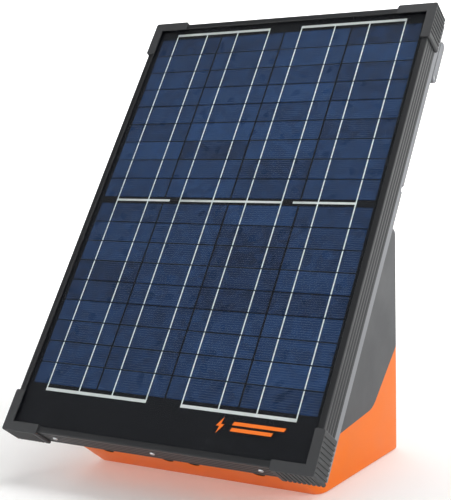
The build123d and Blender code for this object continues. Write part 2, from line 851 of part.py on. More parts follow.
with BuildPart() as board_components:
    with BuildSketch(rear_face.offset(board_back)):
        with Locations((-20, plate_centre_height + 14)):
            Rectangle(14, 14)
        with Locations((16, plate_centre_height - 20)):
            Rectangle(18, 10)
        with Locations((-34, plate_centre_height - 4)):
            Rectangle(8, 16)
    extrude(amount=-4)
    with BuildSketch(rear_face.offset(board_back)):
        with Locations((26, plate_centre_height + 20), (40, plate_centre_height + 20)):
            Circle(5)
    extrude(amount=-14)
    with BuildSketch(rear_face.offset(board_back)):
        with Locations((34, plate_centre_height - 2)):
            Rectangle(22, 12)
    extrude(amount=-10)
save(board_components, "board_components")

# Fence and earth terminals ----------------------------------------------------------------------
washer_base = insulator_height + free_gap
knob_seat = washer_base + washer_thickness + free_gap
nut_thickness = 5.0
with BuildPart() as terminal_insulators:
    with BuildSketch(rear_face):
        with Locations(*terminal_points):
            Circle(insulator_radius)
    extrude(amount=insulator_height, taper=12)
    with BuildSketch(rear_face):
        with Locations(*terminal_points):
            Circle(spigot_radius)
    extrude(amount=-housing_wall)
    with BuildSketch(rear_face.offset(insulator_height)):
        with Locations(*terminal_points):
            Circle(stud_radius)
    extrude(amount=-(insulator_height + housing_wall), mode=Mode.SUBTRACT)
save(terminal_insulators, "terminal_insulators")

stud_end_out = insulator_height + stud_reach
with BuildPart() as terminal_studs:
    with BuildSketch(rear_face.offset(rear_inner - stud_tail)):
        with Locations(*terminal_points):
            Circle(stud_radius)
    extrude(amount=stud_end_out - stud_tip_length - rear_inner + stud_tail)
    with BuildSketch(rear_face.offset(stud_end_out - stud_tip_length)):
        with Locations(*terminal_points):
            Circle(stud_tip_radius)
    extrude(amount=stud_tip_length)
    chamfer(terminal_studs.faces().group_by(Axis.Y)[-1].edges(), length=0.6)
save(terminal_studs, "terminal_studs")

with BuildPart() as stud_nuts:
    with BuildSketch(rear_face.offset(rear_inner)):
        with Locations(*terminal_points):
            RegularPolygon(spigot_radius + 1.5, 6)
            Circle(stud_radius, mode=Mode.SUBTRACT)
    extrude(amount=-nut_thickness)
save(stud_nuts, "stud_nuts")


def clamp_washer(point):
    """Flat washer that presses the fence wire down; it runs clear of the stud."""
    with BuildPart() as washer:
        with BuildSketch(rear_face.offset(washer_base)):
            with Locations(point):
                Circle(washer_radius)
                Circle(stud_radius + free_gap, mode=Mode.SUBTRACT)
        extrude(amount=washer_thickness)
    return washer


def clamp_knob(point):
    """Six-lobed screw knob on the terminal stud."""
    lobe_count = 6
    with BuildPart() as knob:
        with BuildSketch(rear_face.offset(knob_seat)):
            with Locations(point):
                Circle(clamp_knob_radius)
                with PolarLocations(clamp_knob_radius + 2.4, lobe_count):
                    Circle(4.2, mode=Mode.SUBTRACT)
        extrude(amount=clamp_knob_height)
        fillet(knob.faces().sort_by(Axis.Y)[-1].edges(), radius=1.2)
        with BuildSketch(rear_face.offset(knob_seat)):
            with Locations(point):
                Circle(stud_radius + running_fit)
        extrude(amount=clamp_knob_height, mode=Mode.SUBTRACT)
    return knob


for terminal_name, terminal_point in zip(("fence", "earth"), terminal_points):
    save(clamp_washer(terminal_point), f"{terminal_name}_washer")
    save(clamp_knob(terminal_point), f"{terminal_name}_clamp_knob")

# Charging socket --------------------------------------------------------------------------------
hinge_height = terminal_height + socket_flange_radius + 1.5
hinge_out = 3.4
lug_half = 8.0
knuckle_half = 4.6
knuckle_radius = 2.4
across = Plane(origin=(0, base_depth / 2, 0), x_dir=(0, 1, 0), z_dir=(1, 0, 0))
with BuildPart() as charge_socket:
    with BuildSketch(rear_face):
        with Locations((0, terminal_height)):
            Circle(socket_flange_radius)
        with Locations((0, hinge_height - 1)):
            Rectangle(2 * lug_half, 7)
    extrude(amount=socket_flange_height * 0.5)
    with BuildSketch(rear_face):
        with Locations((0, terminal_height)):
            Circle(socket_flange_radius)
    extrude(amount=socket_flange_height)
    with BuildSketch(rear_face):
        with Locations((0, terminal_height)):
            Circle(socket_radius)
    extrude(amount=-(socket_bore_depth + 4))
    for lug_start in (-lug_half, knuckle_half + free_gap):
        with BuildSketch(across.offset(lug_start)):
            with Locations((hinge_out, hinge_height)):
                Circle(knuckle_radius)
            with Locations((hinge_out / 2, hinge_height)):
                Rectangle(hinge_out, 2 * knuckle_radius)
        extrude(amount=lug_half - knuckle_half - free_gap)
    with BuildSketch(across.offset(-lug_half)):
        with Locations((hinge_out, hinge_height)):
            Circle(cap_pin_radius)
    extrude(amount=2 * lug_half, mode=Mode.SUBTRACT)
    with BuildSketch(rear_face.offset(hinge_out - knuckle_radius - free_gap)):
        with Locations((0, hinge_height)):
            Rectangle(2 * (knuckle_half + free_gap), 2 * (knuckle_radius + free_gap))
    extrude(amount=2 * knuckle_radius, mode=Mode.SUBTRACT)
    with BuildSketch(rear_face.offset(socket_flange_height)):
        with Locations((0, terminal_height)):
            Circle(socket_bore_radius)
    extrude(amount=-(socket_flange_height + socket_bore_depth), mode=Mode.SUBTRACT)
save(charge_socket, "charge_socket")

with BuildPart() as charge_pins:
    with BuildSketch(rear_face.offset(-socket_bore_depth)):
        with Locations((-2.5, terminal_height), (2.5, terminal_height)):
            Circle(1.0)
    extrude(amount=8)
save(charge_pins, "charge_pins")

with BuildPart() as cap_hinge_pin:
    with BuildSketch(across.offset(-lug_half)):
        with Locations((hinge_out, hinge_height)):
            Circle(cap_pin_radius)
    extrude(amount=2 * lug_half)
save(cap_hinge_pin, "cap_hinge_pin")

cap_base = socket_flange_height + free_gap
plug_radius = socket_bore_radius - 0.8
with BuildPart() as socket_cap:
    with BuildSketch(rear_face.offset(cap_base)):
        with Locations((0, terminal_height)):
            Circle(socket_flange_radius - 0.5)
        with Locations((0, terminal_height + socket_flange_radius / 2)):
            Rectangle(2 * knuckle_half, socket_flange_radius)
    extrude(amount=cap_thickness)
    with BuildSketch(across.offset(-knuckle_half)):
        with Locations((hinge_out, hinge_height)):
            Circle(knuckle_radius)
        with Locations((hinge_out + 0.9, hinge_height - 2)):
            Rectangle(3, 4)
    extrude(amount=2 * knuckle_half)
    with BuildSketch(rear_face.offset(cap_base)):
        with Locations((0, terminal_height)):
            Circle(plug_radius)
            Circle(plug_radius - 1.6, mode=Mode.SUBTRACT)
    extrude(amount=-3)
    with BuildSketch(across.offset(-lug_half)):
        with Locations((hinge_out, hinge_height)):
            Circle(cap_pin_radius + running_fit)
    extrude(amount=2 * lug_half, mode=Mode.SUBTRACT)
save(socket_cap, "socket_cap")

# Battery ----------------------------------------------------------------------------------------
tab_height = 7.0
tab_x = battery_length / 2 - 14
tab_y = battery_centre_y + battery_depth / 2 - 12
with BuildPart() as battery:
    with BuildSketch(floor):
        with Locations((0, battery_centre_y)):
            RectangleRounded(battery_length, battery_depth, 3)
    extrude(amount=battery_height)
    chamfer(battery.faces().sort_by(Axis.Z)[-1].edges(), length=1.2)
save(battery, "battery")

battery_top = floor.offset(battery_height)
with BuildPart() as battery_tabs:
    with BuildSketch(battery_top):
        with Locations((-tab_x, tab_y), (tab_x, tab_y)):
            Rectangle(6.3, 3)
    extrude(amount=tab_height)
save(battery_tabs, "battery_tabs")

strap_half = battery_length / 2
strap_section = Plane(
    origin=(0, battery_centre_y + strap_width / 2, housing_wall),
    x_dir=(1, 0, 0),
    z_dir=(0, -1, 0),
)
with BuildPart() as battery_strap:
    with BuildSketch(strap_section):
        with Locations((0, (battery_height + strap_thickness) / 2 + strap_post_height / 2)):
            Rectangle(
                2 * (strap_half + strap_thickness),
                battery_height + strap_thickness - strap_post_height,
            )
        with Locations((0, strap_post_height + strap_thickness / 2)):
            Rectangle(2 * (strap_post_x + strap_post_radius), strap_thickness)
        with Locations((0, battery_height / 2)):
            Rectangle(2 * strap_half, battery_height, mode=Mode.SUBTRACT)
    extrude(amount=strap_width)
    with BuildSketch(floor.offset(strap_post_height)):
        with Locations((-strap_post_x, battery_centre_y), (strap_post_x, battery_centre_y)):
            Circle(strap_screw_radius)
    extrude(amount=strap_thickness, mode=Mode.SUBTRACT)
save(battery_strap, "battery_strap")

with BuildPart() as strap_screws:
    with BuildSketch(floor.offset(strap_post_height + strap_thickness)):
        with Locations((-strap_post_x, battery_centre_y), (strap_post_x, battery_centre_y)):
            Circle(3.5)
    extrude(amount=2.4)
    with BuildSketch(floor.offset(strap_post_height + strap_thickness)):
        with Locations((-strap_post_x, battery_centre_y), (strap_post_x, battery_centre_y)):
            Circle(strap_screw_radius)
    extrude(amount=-(strap_thickness + strap_screw_depth - 1))
save(strap_screws, "strap_screws")

# Pulse transformer and storage capacitors -------------------------------------------------------
core_width = 60.0
core_height = 50.0
core_stack = 24.0
core_leg = 20.0
window_width = 10.0
window_height = 30.0
winding_gap = 0.4
winding_build = window_width - winding_gap
winding_side_gap = 3.2      # from the winding to the tub's side wall
core_rear_gap = 4.8         # from the core to the post bosses on the rear wall
boss_end_y = base_depth / 2 - housing_wall - post_hole_depth
core_x = base_width / 2 - housing_wall - winding_side_gap - winding_build - core_stack / 2
core_y = boss_end_y - core_rear_gap - core_width / 2
core_side = Plane(
    origin=(core_x - core_stack / 2, core_y, housing_wall),
    x_dir=(0, 1, 0),
    z_dir=(1, 0, 0),
)
window_shift = (core_leg + window_width) / 2
with BuildPart() as transformer_core:
    with BuildSketch(core_side):
        with Locations((0, core_height / 2)):
            Rectangle(core_width, core_height)
            with Locations((-window_shift, 0), (window_shift, 0)):
                Rectangle(window_width, window_height, mode=Mode.SUBTRACT)
    extrude(amount=core_stack)
save(transformer_core, "transformer_core")

winding_base = Plane.XY.offset(housing_wall + (core_height - window_height) / 2 + winding_gap)
winding_height = window_height - 2 * winding_gap
with BuildPart() as transformer_winding:
    with BuildSketch(winding_base):
        with Locations((core_x, core_y)):
            RectangleRounded(core_stack + 2 * winding_build, core_leg + 2 * winding_build, 5)
            Rectangle(core_stack, core_leg, mode=Mode.SUBTRACT)
    extrude(amount=winding_height)
save(transformer_winding, "transformer_winding")

capacitor_radius = 17.0
capacitor_height = 58.0
capacitor_side_gap = 6.8    # from a capacitor to the tub's side wall
capacitor_rear_gap = 7.8    # from the rear capacitor to the post bosses
capacitor_spacing = 2 * capacitor_radius + 4
capacitor_x = -(base_width / 2 - housing_wall - capacitor_side_gap - capacitor_radius)
capacitor_y = boss_end_y - capacitor_rear_gap - capacitor_radius
capacitor_places = [(capacitor_x, capacitor_y - capacitor_spacing), (capacitor_x, capacitor_y)]
with BuildPart() as storage_capacitors:
    with BuildSketch(floor):
        with Locations(*capacitor_places):
            Circle(capacitor_radius)
    extrude(amount=capacitor_height)
    fillet(storage_capacitors.faces().group_by(Axis.Z)[-1].edges(), radius=1.5)
save(storage_capacitors, "storage_capacitors")


# Leads inside the case --------------------------------------------------------------------------
def lead(points, radii, radius):
    """Round lead along straight runs joined by tangent arcs."""
    with BuildPart() as wire:
        with BuildLine() as route:
            FilletPolyline(*points, radius=radii)
        start = Plane(origin=route.line @ 0, z_dir=route.line % 0)
        with BuildSketch(start):
            Circle(radius)
        sweep(path=route.line)
    return wire


tab_top = housing_wall + battery_height + tab_height
board_y = base_depth / 2 + board_back
lead_rise = 34.0
for lead_name, lead_x in (("battery_lead_red", -tab_x), ("battery_lead_black", tab_x)):
    battery_route = [
        (lead_x, tab_y, tab_top),
        (lead_x, tab_y, tab_top + lead_rise),
        (lead_x, board_y, tab_top + lead_rise),
    ]
    save(lead(battery_route, 13.0, lead_radius), lead_name)

winding_top = housing_wall + (core_height + window_height) / 2 - winding_gap
winding_edge = core_x - core_stack / 2 - winding_build / 2
stud_end = base_depth / 2 + rear_inner - stud_tail
terminal_x = terminal_spacing / 2
fence_route = [
    (winding_edge, core_y + 5, winding_top),
    (winding_edge, core_y + 5, winding_top + 40),
    (terminal_x, stud_end - 22, terminal_height),
    (terminal_x, stud_end, terminal_height),
]
save(lead(fence_route, [9.0, 7.0], lead_radius), "fence_lead")

over_battery = housing_wall + battery_height + 16
winding_far = core_x + core_stack / 2 + winding_build / 2
earth_route = [
    (winding_far, core_y + 5, winding_top),
    (winding_far, core_y + 5, over_battery),
    (-terminal_x, stud_end - 22, over_battery),
    (-terminal_x, stud_end - 22, terminal_height),
    (-terminal_x, stud_end, terminal_height),
]
save(lead(earth_route, [14.0, 12.0, 9.0], lead_radius), "earth_lead")

lead_level = backsheet_back - junction_depth / 2
junction_exit = junction_along - junction_length / 2
panel_route = [
    tray_back.from_local_coords((0, junction_exit, lead_level)),
    tray_back.from_local_coords((0, lead_hole_along, lead_level)),
    tray_back.from_local_coords((0, lead_hole_along, -housing_wall - 24)),
    Vector(0, board_y - 22, plate_centre_height + board_height / 2 - 10),
    Vector(0, board_y, plate_centre_height + board_height / 2 - 10),
]
save(lead(panel_route, [14.0, 11.0, 9.0], panel_lead_radius), "panel_lead")
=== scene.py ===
"""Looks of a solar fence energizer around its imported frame, laid out as a Blender add-on.

Every length is in metres. New pieces are surfaces worked out with numpy in the frame's own
directions: across the panel, up its slope and outward from it, or rearward from the rear wall.
"""

import json
from math import cos, pi, radians, sin, tau

import bmesh
import bpy
import numpy as np
from bpy.props import FloatProperty, FloatVectorProperty, IntProperty, PointerProperty
from mathutils import Euler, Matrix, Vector

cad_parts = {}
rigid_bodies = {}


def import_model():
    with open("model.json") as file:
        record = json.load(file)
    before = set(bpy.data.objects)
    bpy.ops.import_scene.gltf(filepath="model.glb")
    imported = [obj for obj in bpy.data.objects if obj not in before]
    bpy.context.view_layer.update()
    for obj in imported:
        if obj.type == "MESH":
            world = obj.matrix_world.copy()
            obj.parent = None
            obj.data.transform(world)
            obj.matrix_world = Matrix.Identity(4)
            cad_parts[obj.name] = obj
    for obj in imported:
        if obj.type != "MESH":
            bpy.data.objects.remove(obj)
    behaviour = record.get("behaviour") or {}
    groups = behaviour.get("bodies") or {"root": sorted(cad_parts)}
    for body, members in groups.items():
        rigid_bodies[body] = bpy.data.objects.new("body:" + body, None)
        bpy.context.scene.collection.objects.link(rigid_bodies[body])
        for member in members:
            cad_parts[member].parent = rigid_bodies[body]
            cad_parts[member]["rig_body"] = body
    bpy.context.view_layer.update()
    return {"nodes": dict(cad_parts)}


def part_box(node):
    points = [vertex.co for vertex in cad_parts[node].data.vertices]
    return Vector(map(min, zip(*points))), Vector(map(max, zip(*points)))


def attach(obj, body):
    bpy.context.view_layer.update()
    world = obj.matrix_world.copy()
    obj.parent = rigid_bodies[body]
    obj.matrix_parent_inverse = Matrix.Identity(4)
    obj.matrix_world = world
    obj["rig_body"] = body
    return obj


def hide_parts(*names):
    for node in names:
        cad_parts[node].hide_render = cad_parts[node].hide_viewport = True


bl_info = {
    "name": "Solar fence energizer",
    "version": (1, 0, 0),
    "blender": (4, 5, 0),
    "location": "3D View > Sidebar > Energizer",
    "description": "Builds the visible pieces of a solar fence energizer around its packed frame",
    "category": "Object",
}

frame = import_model()
nodes = frame["nodes"]

MM = 0.001
PANEL_SLOPE = radians(55.0)
ACROSS = np.array((1.0, 0.0, 0.0))
UP_SLOPE = np.array((0.0, cos(PANEL_SLOPE), sin(PANEL_SLOPE)))
OUTWARD = np.array((0.0, -sin(PANEL_SLOPE), cos(PANEL_SLOPE)))
REARWARD = np.array((0.0, 1.0, 0.0))
UPRIGHT = np.array((0.0, 0.0, 1.0))


# Measures read from the frame -------------------------------------------------------------------
def extent(node, direction):
    """Lowest and highest reach of a node's points along a direction."""
    points = np.empty(3 * len(nodes[node].data.vertices))
    nodes[node].data.vertices.foreach_get("co", points)
    reach = points.reshape(-1, 3) @ direction
    return reach.min(), reach.max()


def middle(node):
    """Middle of a node's box."""
    low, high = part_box(node)
    return np.array((low + high) / 2)


def along_axes(first, second, third, axes):
    """Points from three coordinates: each is multiplied by its own axis and the three are added."""
    parts = [np.asarray(value, float)[..., None] * axis for value, axis in zip((first, second, third), axes)]
    return parts[0] + parts[1] + parts[2]


PANEL_AXES = (ACROSS, UP_SLOPE, OUTWARD)
REAR_AXES = (ACROSS, UPRIGHT, REARWARD)
FRONT_AXES = (ACROSS, OUTWARD, -UP_SLOPE)


# Sizes and colours a user would change ----------------------------------------------------------
def length(name, description, default):
    """A length property, in metres."""
    return FloatProperty(name=name, description=description, default=default, unit="LENGTH", precision=4)


def linear(code):
    """Linear colour of an sRGB hex value: the standard curve, with a straight part near black."""
    value = np.array([int(code[start:start + 2], 16) for start in (1, 3, 5)]) / 255
    curved = np.where(value <= 0.04045, value / 12.92, ((value + 0.055) / 1.055) ** 2.4)
    return (*curved.tolist(), 1.0)


def colour(name, description, code):
    """A colour property that starts at an sRGB hex value."""
    return FloatVectorProperty(
        name=name, description=description, default=linear(code), subtype="COLOR", size=4, min=0.0, max=1.0
    )


class EnergizerPanelSizes(bpy.types.PropertyGroup):
    """Sizes of the solar panel's visible pieces."""

    columns: IntProperty(name="Cell columns", description="Cells side by side", default=4)
    rows: IntProperty(name="Cells in a string", description="Cells above each other in a string", default=9)
    cell_width: length("Cell width", "Width of a cut cell", 78.0 * MM)
    cell_height: length("Cell height", "Height of a cut cell", 22.3 * MM)
    pitch_across: length("Pitch across", "Distance between columns", 80.0 * MM)
    pitch_along: length("Pitch along", "Distance between cells of a string", 23.5 * MM)
    string_gap: length("String gap", "Free band between the two strings", 8.5 * MM)
    busbar_width: length("Busbar width", "Width of a soldered ribbon", 1.35 * MM)
    busbar_offset: length("Busbar offset", "From a column's middle to each of its ribbons", 20.0 * MM)
    end_ribbon_width: length("End ribbon width", "Width of the ribbons that join columns", 3.2 * MM)
    cross_ribbon_width: length("Cross ribbon width", "Width of the ribbons between the strings", 2.5 * MM)
    link_start: length("Link start", "Inner end of the outer links from the middle", 72.5 * MM)
    groove_count: IntProperty(name="Rail grooves", description="Grooves along a rail's side", default=4)
    groove_width: length("Groove width", "Width of a groove", 1.3 * MM)
    groove_depth: length("Groove depth", "Depth of a groove", 0.35 * MM)


class EnergizerControlSizes(bpy.types.PropertyGroup):
    """Sizes of the controls and terminals on the rear wall."""

    thread_pitch: length("Thread pitch", "Pitch of the terminal studs' thread", 1.0 * MM)
    thread_depth: length("Thread depth", "Depth of the terminal studs' thread", 0.45 * MM)
    knob_lobes: IntProperty(name="Knob lobes", description="Finger lobes round a clamp knob", default=6)
    lobe_depth: length("Lobe depth", "Depth of the hollows between the lobes", 1.9 * MM)
    print_height: length("Print height", "Thickness of printed marks", 0.06 * MM)
    pocket_places: FloatVectorProperty(
        name="Pocket places",
        description="Places across of the screw pockets",
        default=(-92.0 * MM, -20.0 * MM, 10.0 * MM, 82.0 * MM),
        size=4,
        unit="LENGTH",
    )
    pocket_radius: length("Pocket radius", "Radius of a screw pocket", 7.0 * MM)
    pocket_depth: length("Pocket depth", "Depth of a screw pocket", 15.0 * MM)
    # The cups in the screw pockets are painted shade: black stand-ins for the shade inside them.
    shade_cup_wall: length("Shade cup wall", "Wall of the cup in a screw pocket", 1.0 * MM)
    left_arrow: length("Left arrow", "Place across of the left moulded arrow", -110.0 * MM)
    right_arrow: length("Right arrow", "Place across of the right moulded arrow", -6.0 * MM)


class EnergizerColours(bpy.types.PropertyGroup):
    """Colours of the finishes."""

    tub: colour("Tub", "Orange of the lower housing", "#e87008")
    housing: colour("Housing", "Grey of the upper housing", "#3f4043")
    tray: colour("Tray", "Light grey of the panel tray and the handle", "#7b7d81")
    rail: colour("Rail", "Black anodised rails", "#313234")
    cap: colour("Corner cap", "Black of the corner caps", "#343537")
    cell_dark: colour("Cell, dark grain", "Darkest grains of the cells", "#0e1430")
    cell_light: colour("Cell, light grain", "Lightest grains of the cells", "#2a4a7c")
    mark: colour("Printed mark", "Orange print on the glass", "#ee7420")


class EnergizerStage(bpy.types.PropertyGroup):
    """Camera, lights and floor."""

    camera_place: FloatVectorProperty(
        name="Camera place",
        description="Where the camera stands",
        default=(0.5928, -1.0084, 0.3382),
        unit="LENGTH",
    )
    camera_turn: FloatProperty(
        name="Camera turn",
        description="Turn to the left from looking rearward",
        default=radians(30.97),
        unit="ROTATION",
    )
    camera_drop: FloatProperty(
        name="Camera drop", description="Angle below the horizon", default=radians(6.06), unit="ROTATION"
    )
    camera_roll: FloatProperty(
        name="Camera roll",
        description="Turn about the line of sight",
        default=radians(-1.14),
        unit="ROTATION",
    )
    focal_length: FloatProperty(name="Focal length", description="Lens, in millimetres", default=81.54)
    shift_across: FloatProperty(name="Shift across", description="In widths of the frame", default=-0.0211)
    shift_up: FloatProperty(name="Shift up", description="In widths of the frame", default=0.0044)
    floor_reach: length("Floor reach", "Radius of the flat part of the floor", 2.6)
    cove_radius: length("Cove radius", "Radius of the curve from floor to wall", 0.7)
    wall_height: length("Wall height", "Height of the wall round the stage", 1.5)


# Shapes -----------------------------------------------------------------------------------------
SKIN_MERGE = 0.0005 * MM  # points of a new skin nearer than this become one
CAD_MERGE = 0.002 * MM  # the same for a CAD node's loose triangles
FLAT_ANGLE = radians(0.5)  # faces of a CAD node within this angle count as one flat face
SHARP_ANGLE = radians(32.0)  # edges sharper than this are eased
TURNED_SPOKES = 48


def grid_quads(rows, columns, wrap_rows=False):
    """Quads between the neighbouring points of a grid numbered row by row. The last point of a row
    joins its first, and where rows are wrapped the last row joins the first."""
    row, column = np.meshgrid(
        np.arange(rows if wrap_rows else rows - 1), np.arange(columns), indexing="ij"
    )
    row, column = row.ravel(), column.ravel()
    next_row, next_column = (row + 1) % rows, (column + 1) % columns
    corners = (
        row * columns + column,
        row * columns + next_column,
        next_row * columns + next_column,
        next_row * columns + column,
    )
    return np.stack(corners, axis=1).tolist()


def tube(points):
    """A closed skin from rings of points, shaped rings x points x 3: quads between each ring and
    the next, and one flat face over the first and the last ring."""
    rings, count = points.shape[:2]
    faces = grid_quads(rings, count)
    last = (rings - 1) * count
    faces.append(list(range(count))[::-1])
    faces.append(list(range(last, last + count)))
    return points.reshape(-1, 3), faces


def joined(parts):
    """Several (points, faces) skins as one, with the faces of each moved past the points before."""
    points, faces, start = [], [], 0
    for part_points, part_faces in parts:
        points.append(part_points)
        faces += [[start + index for index in face] for face in part_faces]
        start += len(part_points)
    return np.concatenate(points), faces


def repeated(skin, moves):
    """A skin copied to each of several moves, by adding every move to all its points."""
    points, faces = skin
    return joined([(points + move, faces) for move in moves])


def round_corners(corners, radius, steps=5):
    """Outline of a polygon with rounded corners. Each corner gives way to an arc whose centre is
    radius from both sides, drawn at even angles between the two sides' normals."""
    corners = np.asarray(corners, float)
    radius = np.broadcast_to(np.asarray(radius, float), len(corners))
    ahead = np.roll(corners, -1, 0) - corners
    ahead /= np.linalg.norm(ahead, axis=1, keepdims=True)
    behind = np.roll(ahead, 1, 0)
    turn = np.arctan2(
        behind[:, 0] * ahead[:, 1] - behind[:, 1] * ahead[:, 0], (behind * ahead).sum(1)
    )
    normal_angle = np.arctan2(-behind[:, 0], behind[:, 1])
    side = np.sign(turn)
    reach = radius * np.abs(np.tan(turn / 2))
    start = corners - behind * reach[:, None]
    centre = start - side[:, None] * radius[:, None] * np.stack(
        (np.cos(normal_angle), np.sin(normal_angle)), 1
    )
    angle = normal_angle[:, None] + turn[:, None] * np.linspace(0, 1, steps)
    spoke = np.stack((np.cos(angle), np.sin(angle)), 2)
    return (centre[:, None] + (side * radius)[:, None, None] * spoke).reshape(-1, 2)


def rectangle(half_width, half_height):
    """The four corners of a rectangle about the middle, counter-clockwise."""
    signs = ((1, -1), (1, 1), (-1, 1), (-1, -1))
    return [(across * half_width, along * half_height) for across, along in signs]


def slab(half_width, half_height, corner, bottom, top, edge, axes, place=(0.0, 0.0)):
    """A flat slab with rounded corners and eased edges: one rounded outline carried from bottom to
    top, drawn in by edge at its first and last ring, so that both rims have a small chamfer."""
    rings = []
    for inset, level in ((edge, bottom), (0.0, bottom + edge), (0.0, top - edge), (edge, top)):
        outline = round_corners(rectangle(half_width - inset, half_height - inset), corner)
        rings.append(along_axes(outline[:, 0] + place[0], outline[:, 1] + place[1], level, axes))
    return tube(np.stack(rings))


def printed(outline, bottom, top, axes, place=(0.0, 0.0)):
    """A thin layer of print: a flat outline carried from bottom to top."""
    outline = np.asarray(outline, float)
    rings = [
        along_axes(outline[:, 0] + place[0], outline[:, 1] + place[1], level, axes) for level in (bottom, top)
    ]
    return tube(np.stack(rings))


def turned(profile, spokes, axes, closed=False):
    """A turned body: each point (radius, level) of the profile goes round the axis at even angles.
    An open profile starts and ends on the axis; a closed one goes round a bore."""
    profile = np.asarray(profile, float)
    angle = tau * np.arange(spokes) / spokes
    radius, level = profile[:, :1], profile[:, 1:] + 0 * angle
    points = along_axes(radius * np.cos(angle), radius * np.sin(angle), level, axes)
    return points.reshape(-1, 3), grid_quads(len(profile), spokes, wrap_rows=closed)


def place_piece(name, mesh, body, replaced):
    """Links an object of a mesh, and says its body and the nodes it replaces."""
    piece = bpy.data.objects.new(name, mesh)
    bpy.context.scene.collection.objects.link(piece)
    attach(piece, body)
    if replaced:
        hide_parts(*replaced)
    return piece


def make_piece(name, skin, finish, body, replaced=(), smooth=35.0, tone=None):
    """Makes one object of a closed skin. Points that coincide become one, every face turns
    outwards, edges sharper than smooth degrees stay sharp, and the piece rides on its body.
    A tone, one number for each face, is kept with the faces."""
    points, faces = skin
    mesh = bpy.data.meshes.new(name)
    mesh.from_pydata(np.asarray(points).tolist(), [], faces)
    if tone is not None:
        mesh.attributes.new("tone", "FLOAT", "FACE").data.foreach_set("value", np.asarray(tone, np.float32))
    shell = bmesh.new()
    shell.from_mesh(mesh)
    bmesh.ops.remove_doubles(shell, verts=shell.verts, dist=SKIN_MERGE)
    bmesh.ops.recalc_face_normals(shell, faces=shell.faces)
    shell.to_mesh(mesh)
    shell.free()
    mesh.shade_smooth()
    mesh.set_sharp_from_angle(angle=radians(smooth))
    mesh.materials.append(finish)
    place_piece(name, mesh, body, replaced)


def softened_copy(node, ending, finish, width):
    """A copy of a CAD node with its loose triangles merged, its flat faces made whole and its
    sharp edges rounded to a width, to stand for that node under its name with an ending."""
    name = node + ending
    shell = bmesh.new()
    shell.from_mesh(nodes[node].data)
    bmesh.ops.remove_doubles(shell, verts=shell.verts, dist=CAD_MERGE)
    bmesh.ops.dissolve_limit(
        shell, angle_limit=FLAT_ANGLE, verts=shell.verts, edges=shell.edges, delimit={"NORMAL"}
    )
    points = [tuple(vertex.co) for vertex in shell.verts]
    shell.verts.index_update()
    faces = [[vertex.index for vertex in face.verts] for face in shell.faces]
    shell.free()
    mesh = bpy.data.meshes.new(name)
    mesh.from_pydata(points, [], faces)
    mesh.shade_smooth()
    mesh.materials.append(finish)
    piece = place_piece(name, mesh, nodes[node]["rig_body"], (node,))
    bevel = piece.modifiers.new("eased edges", "BEVEL")
    bevel.width = width
    bevel.segments = 2
    bevel.limit_method = "ANGLE"
    bevel.angle_limit = SHARP_ANGLE
    bevel.miter_outer = "MITER_ARC"
    bevel.use_clamp_overlap = True
    bevel.harden_normals = True


# Finishes ---------------------------------------------------------------------------------------
def add_node(tree, kind, inputs=None, **settings):
    """Adds a shader node, sets its settings, and sets or links its inputs."""
    node = tree.nodes.new("ShaderNode" + kind)
    for key, value in settings.items():
        setattr(node, key, value)
    for key, value in (inputs or {}).items():
        if isinstance(value, bpy.types.NodeSocket):
            tree.links.new(value, node.inputs[key])
        else:
            node.inputs[key].default_value = value
    return node


def new_finish(name, **constants):
    """A material with one Principled shader whose constants are set on its own sockets."""
    made = bpy.data.materials.new(name)
    made.use_nodes = True
    tree = made.node_tree
    tree.nodes.clear()
    inputs = {key.replace("_", " "): value for key, value in constants.items()}
    shader = add_node(tree, "BsdfPrincipled", inputs)
    add_node(tree, "OutputMaterial", {"Surface": shader.outputs["BSDF"]})
    return made, tree, shader


def noise_in(tree, size, detail=3.0, stretch=(1.0, 1.0, 1.0), turn=0.0):
    """Noise whose features are about size metres, made longer along the object's axes, which are
    first turned about the first of them."""
    coords = add_node(tree, "TexCoord")
    lean = {"Vector": coords.outputs["Object"], "Rotation": (turn, 0.0, 0.0), "Scale": stretch}
    space = add_node(tree, "Mapping", lean, vector_type="TEXTURE").outputs["Vector"]
    return add_node(tree, "TexNoise", {"Vector": space, "Scale": 1.0 / size, "Detail": detail})


def mixed_colour(tree, share, first, second):
    """A colour that goes from the first to the second with a share."""
    return add_node(tree, "Mix", {0: share, 6: first, 7: second}, data_type="RGBA").outputs[2]


def vary(tree, shader, noise, light, dark, rough_low, rough_high):
    """Lets a noise move the colour between dark and light, and the roughness with it."""
    mixed = mixed_colour(tree, noise.outputs["Fac"], dark, light)
    span = {"From Min": 0.3, "From Max": 0.7, "To Min": rough_low, "To Max": rough_high}
    rough = add_node(tree, "MapRange", {"Value": noise.outputs["Fac"], **span})
    tree.links.new(mixed, shader.inputs["Base Color"])
    tree.links.new(rough.outputs["Result"], shader.inputs["Roughness"])


def raise_by(tree, shader, height, distance):
    """Bumps the surface by a height of the given distance in metres."""
    bump = add_node(tree, "Bump", {"Height": height, "Distance": distance, "Strength": 1.0})
    tree.links.new(bump.outputs["Normal"], shader.inputs["Normal"])


def shade(tint, factor):
    """A colour made darker or lighter by a factor."""
    red, green, blue, alpha = tint
    return (red * factor, green * factor, blue * factor, alpha)


def moulded(name, tint, rough, grain, depth, spread=0.1, **constants):
    """A moulded polymer: colour that drifts a little over a few centimetres as the melt flowed, and
    the fine grain of the spark-eroded mould."""
    made, tree, shader = new_finish(name, IOR=1.5, **constants)
    flow = noise_in(tree, 35.0 * MM, detail=4.0)
    vary(tree, shader, flow, shade(tint, 1 + spread), shade(tint, 1 - spread), rough - 0.06, rough + 0.06)
    sparks = noise_in(tree, grain, detail=2.0)
    raise_by(tree, shader, sparks.outputs["Fac"], depth)
    return made


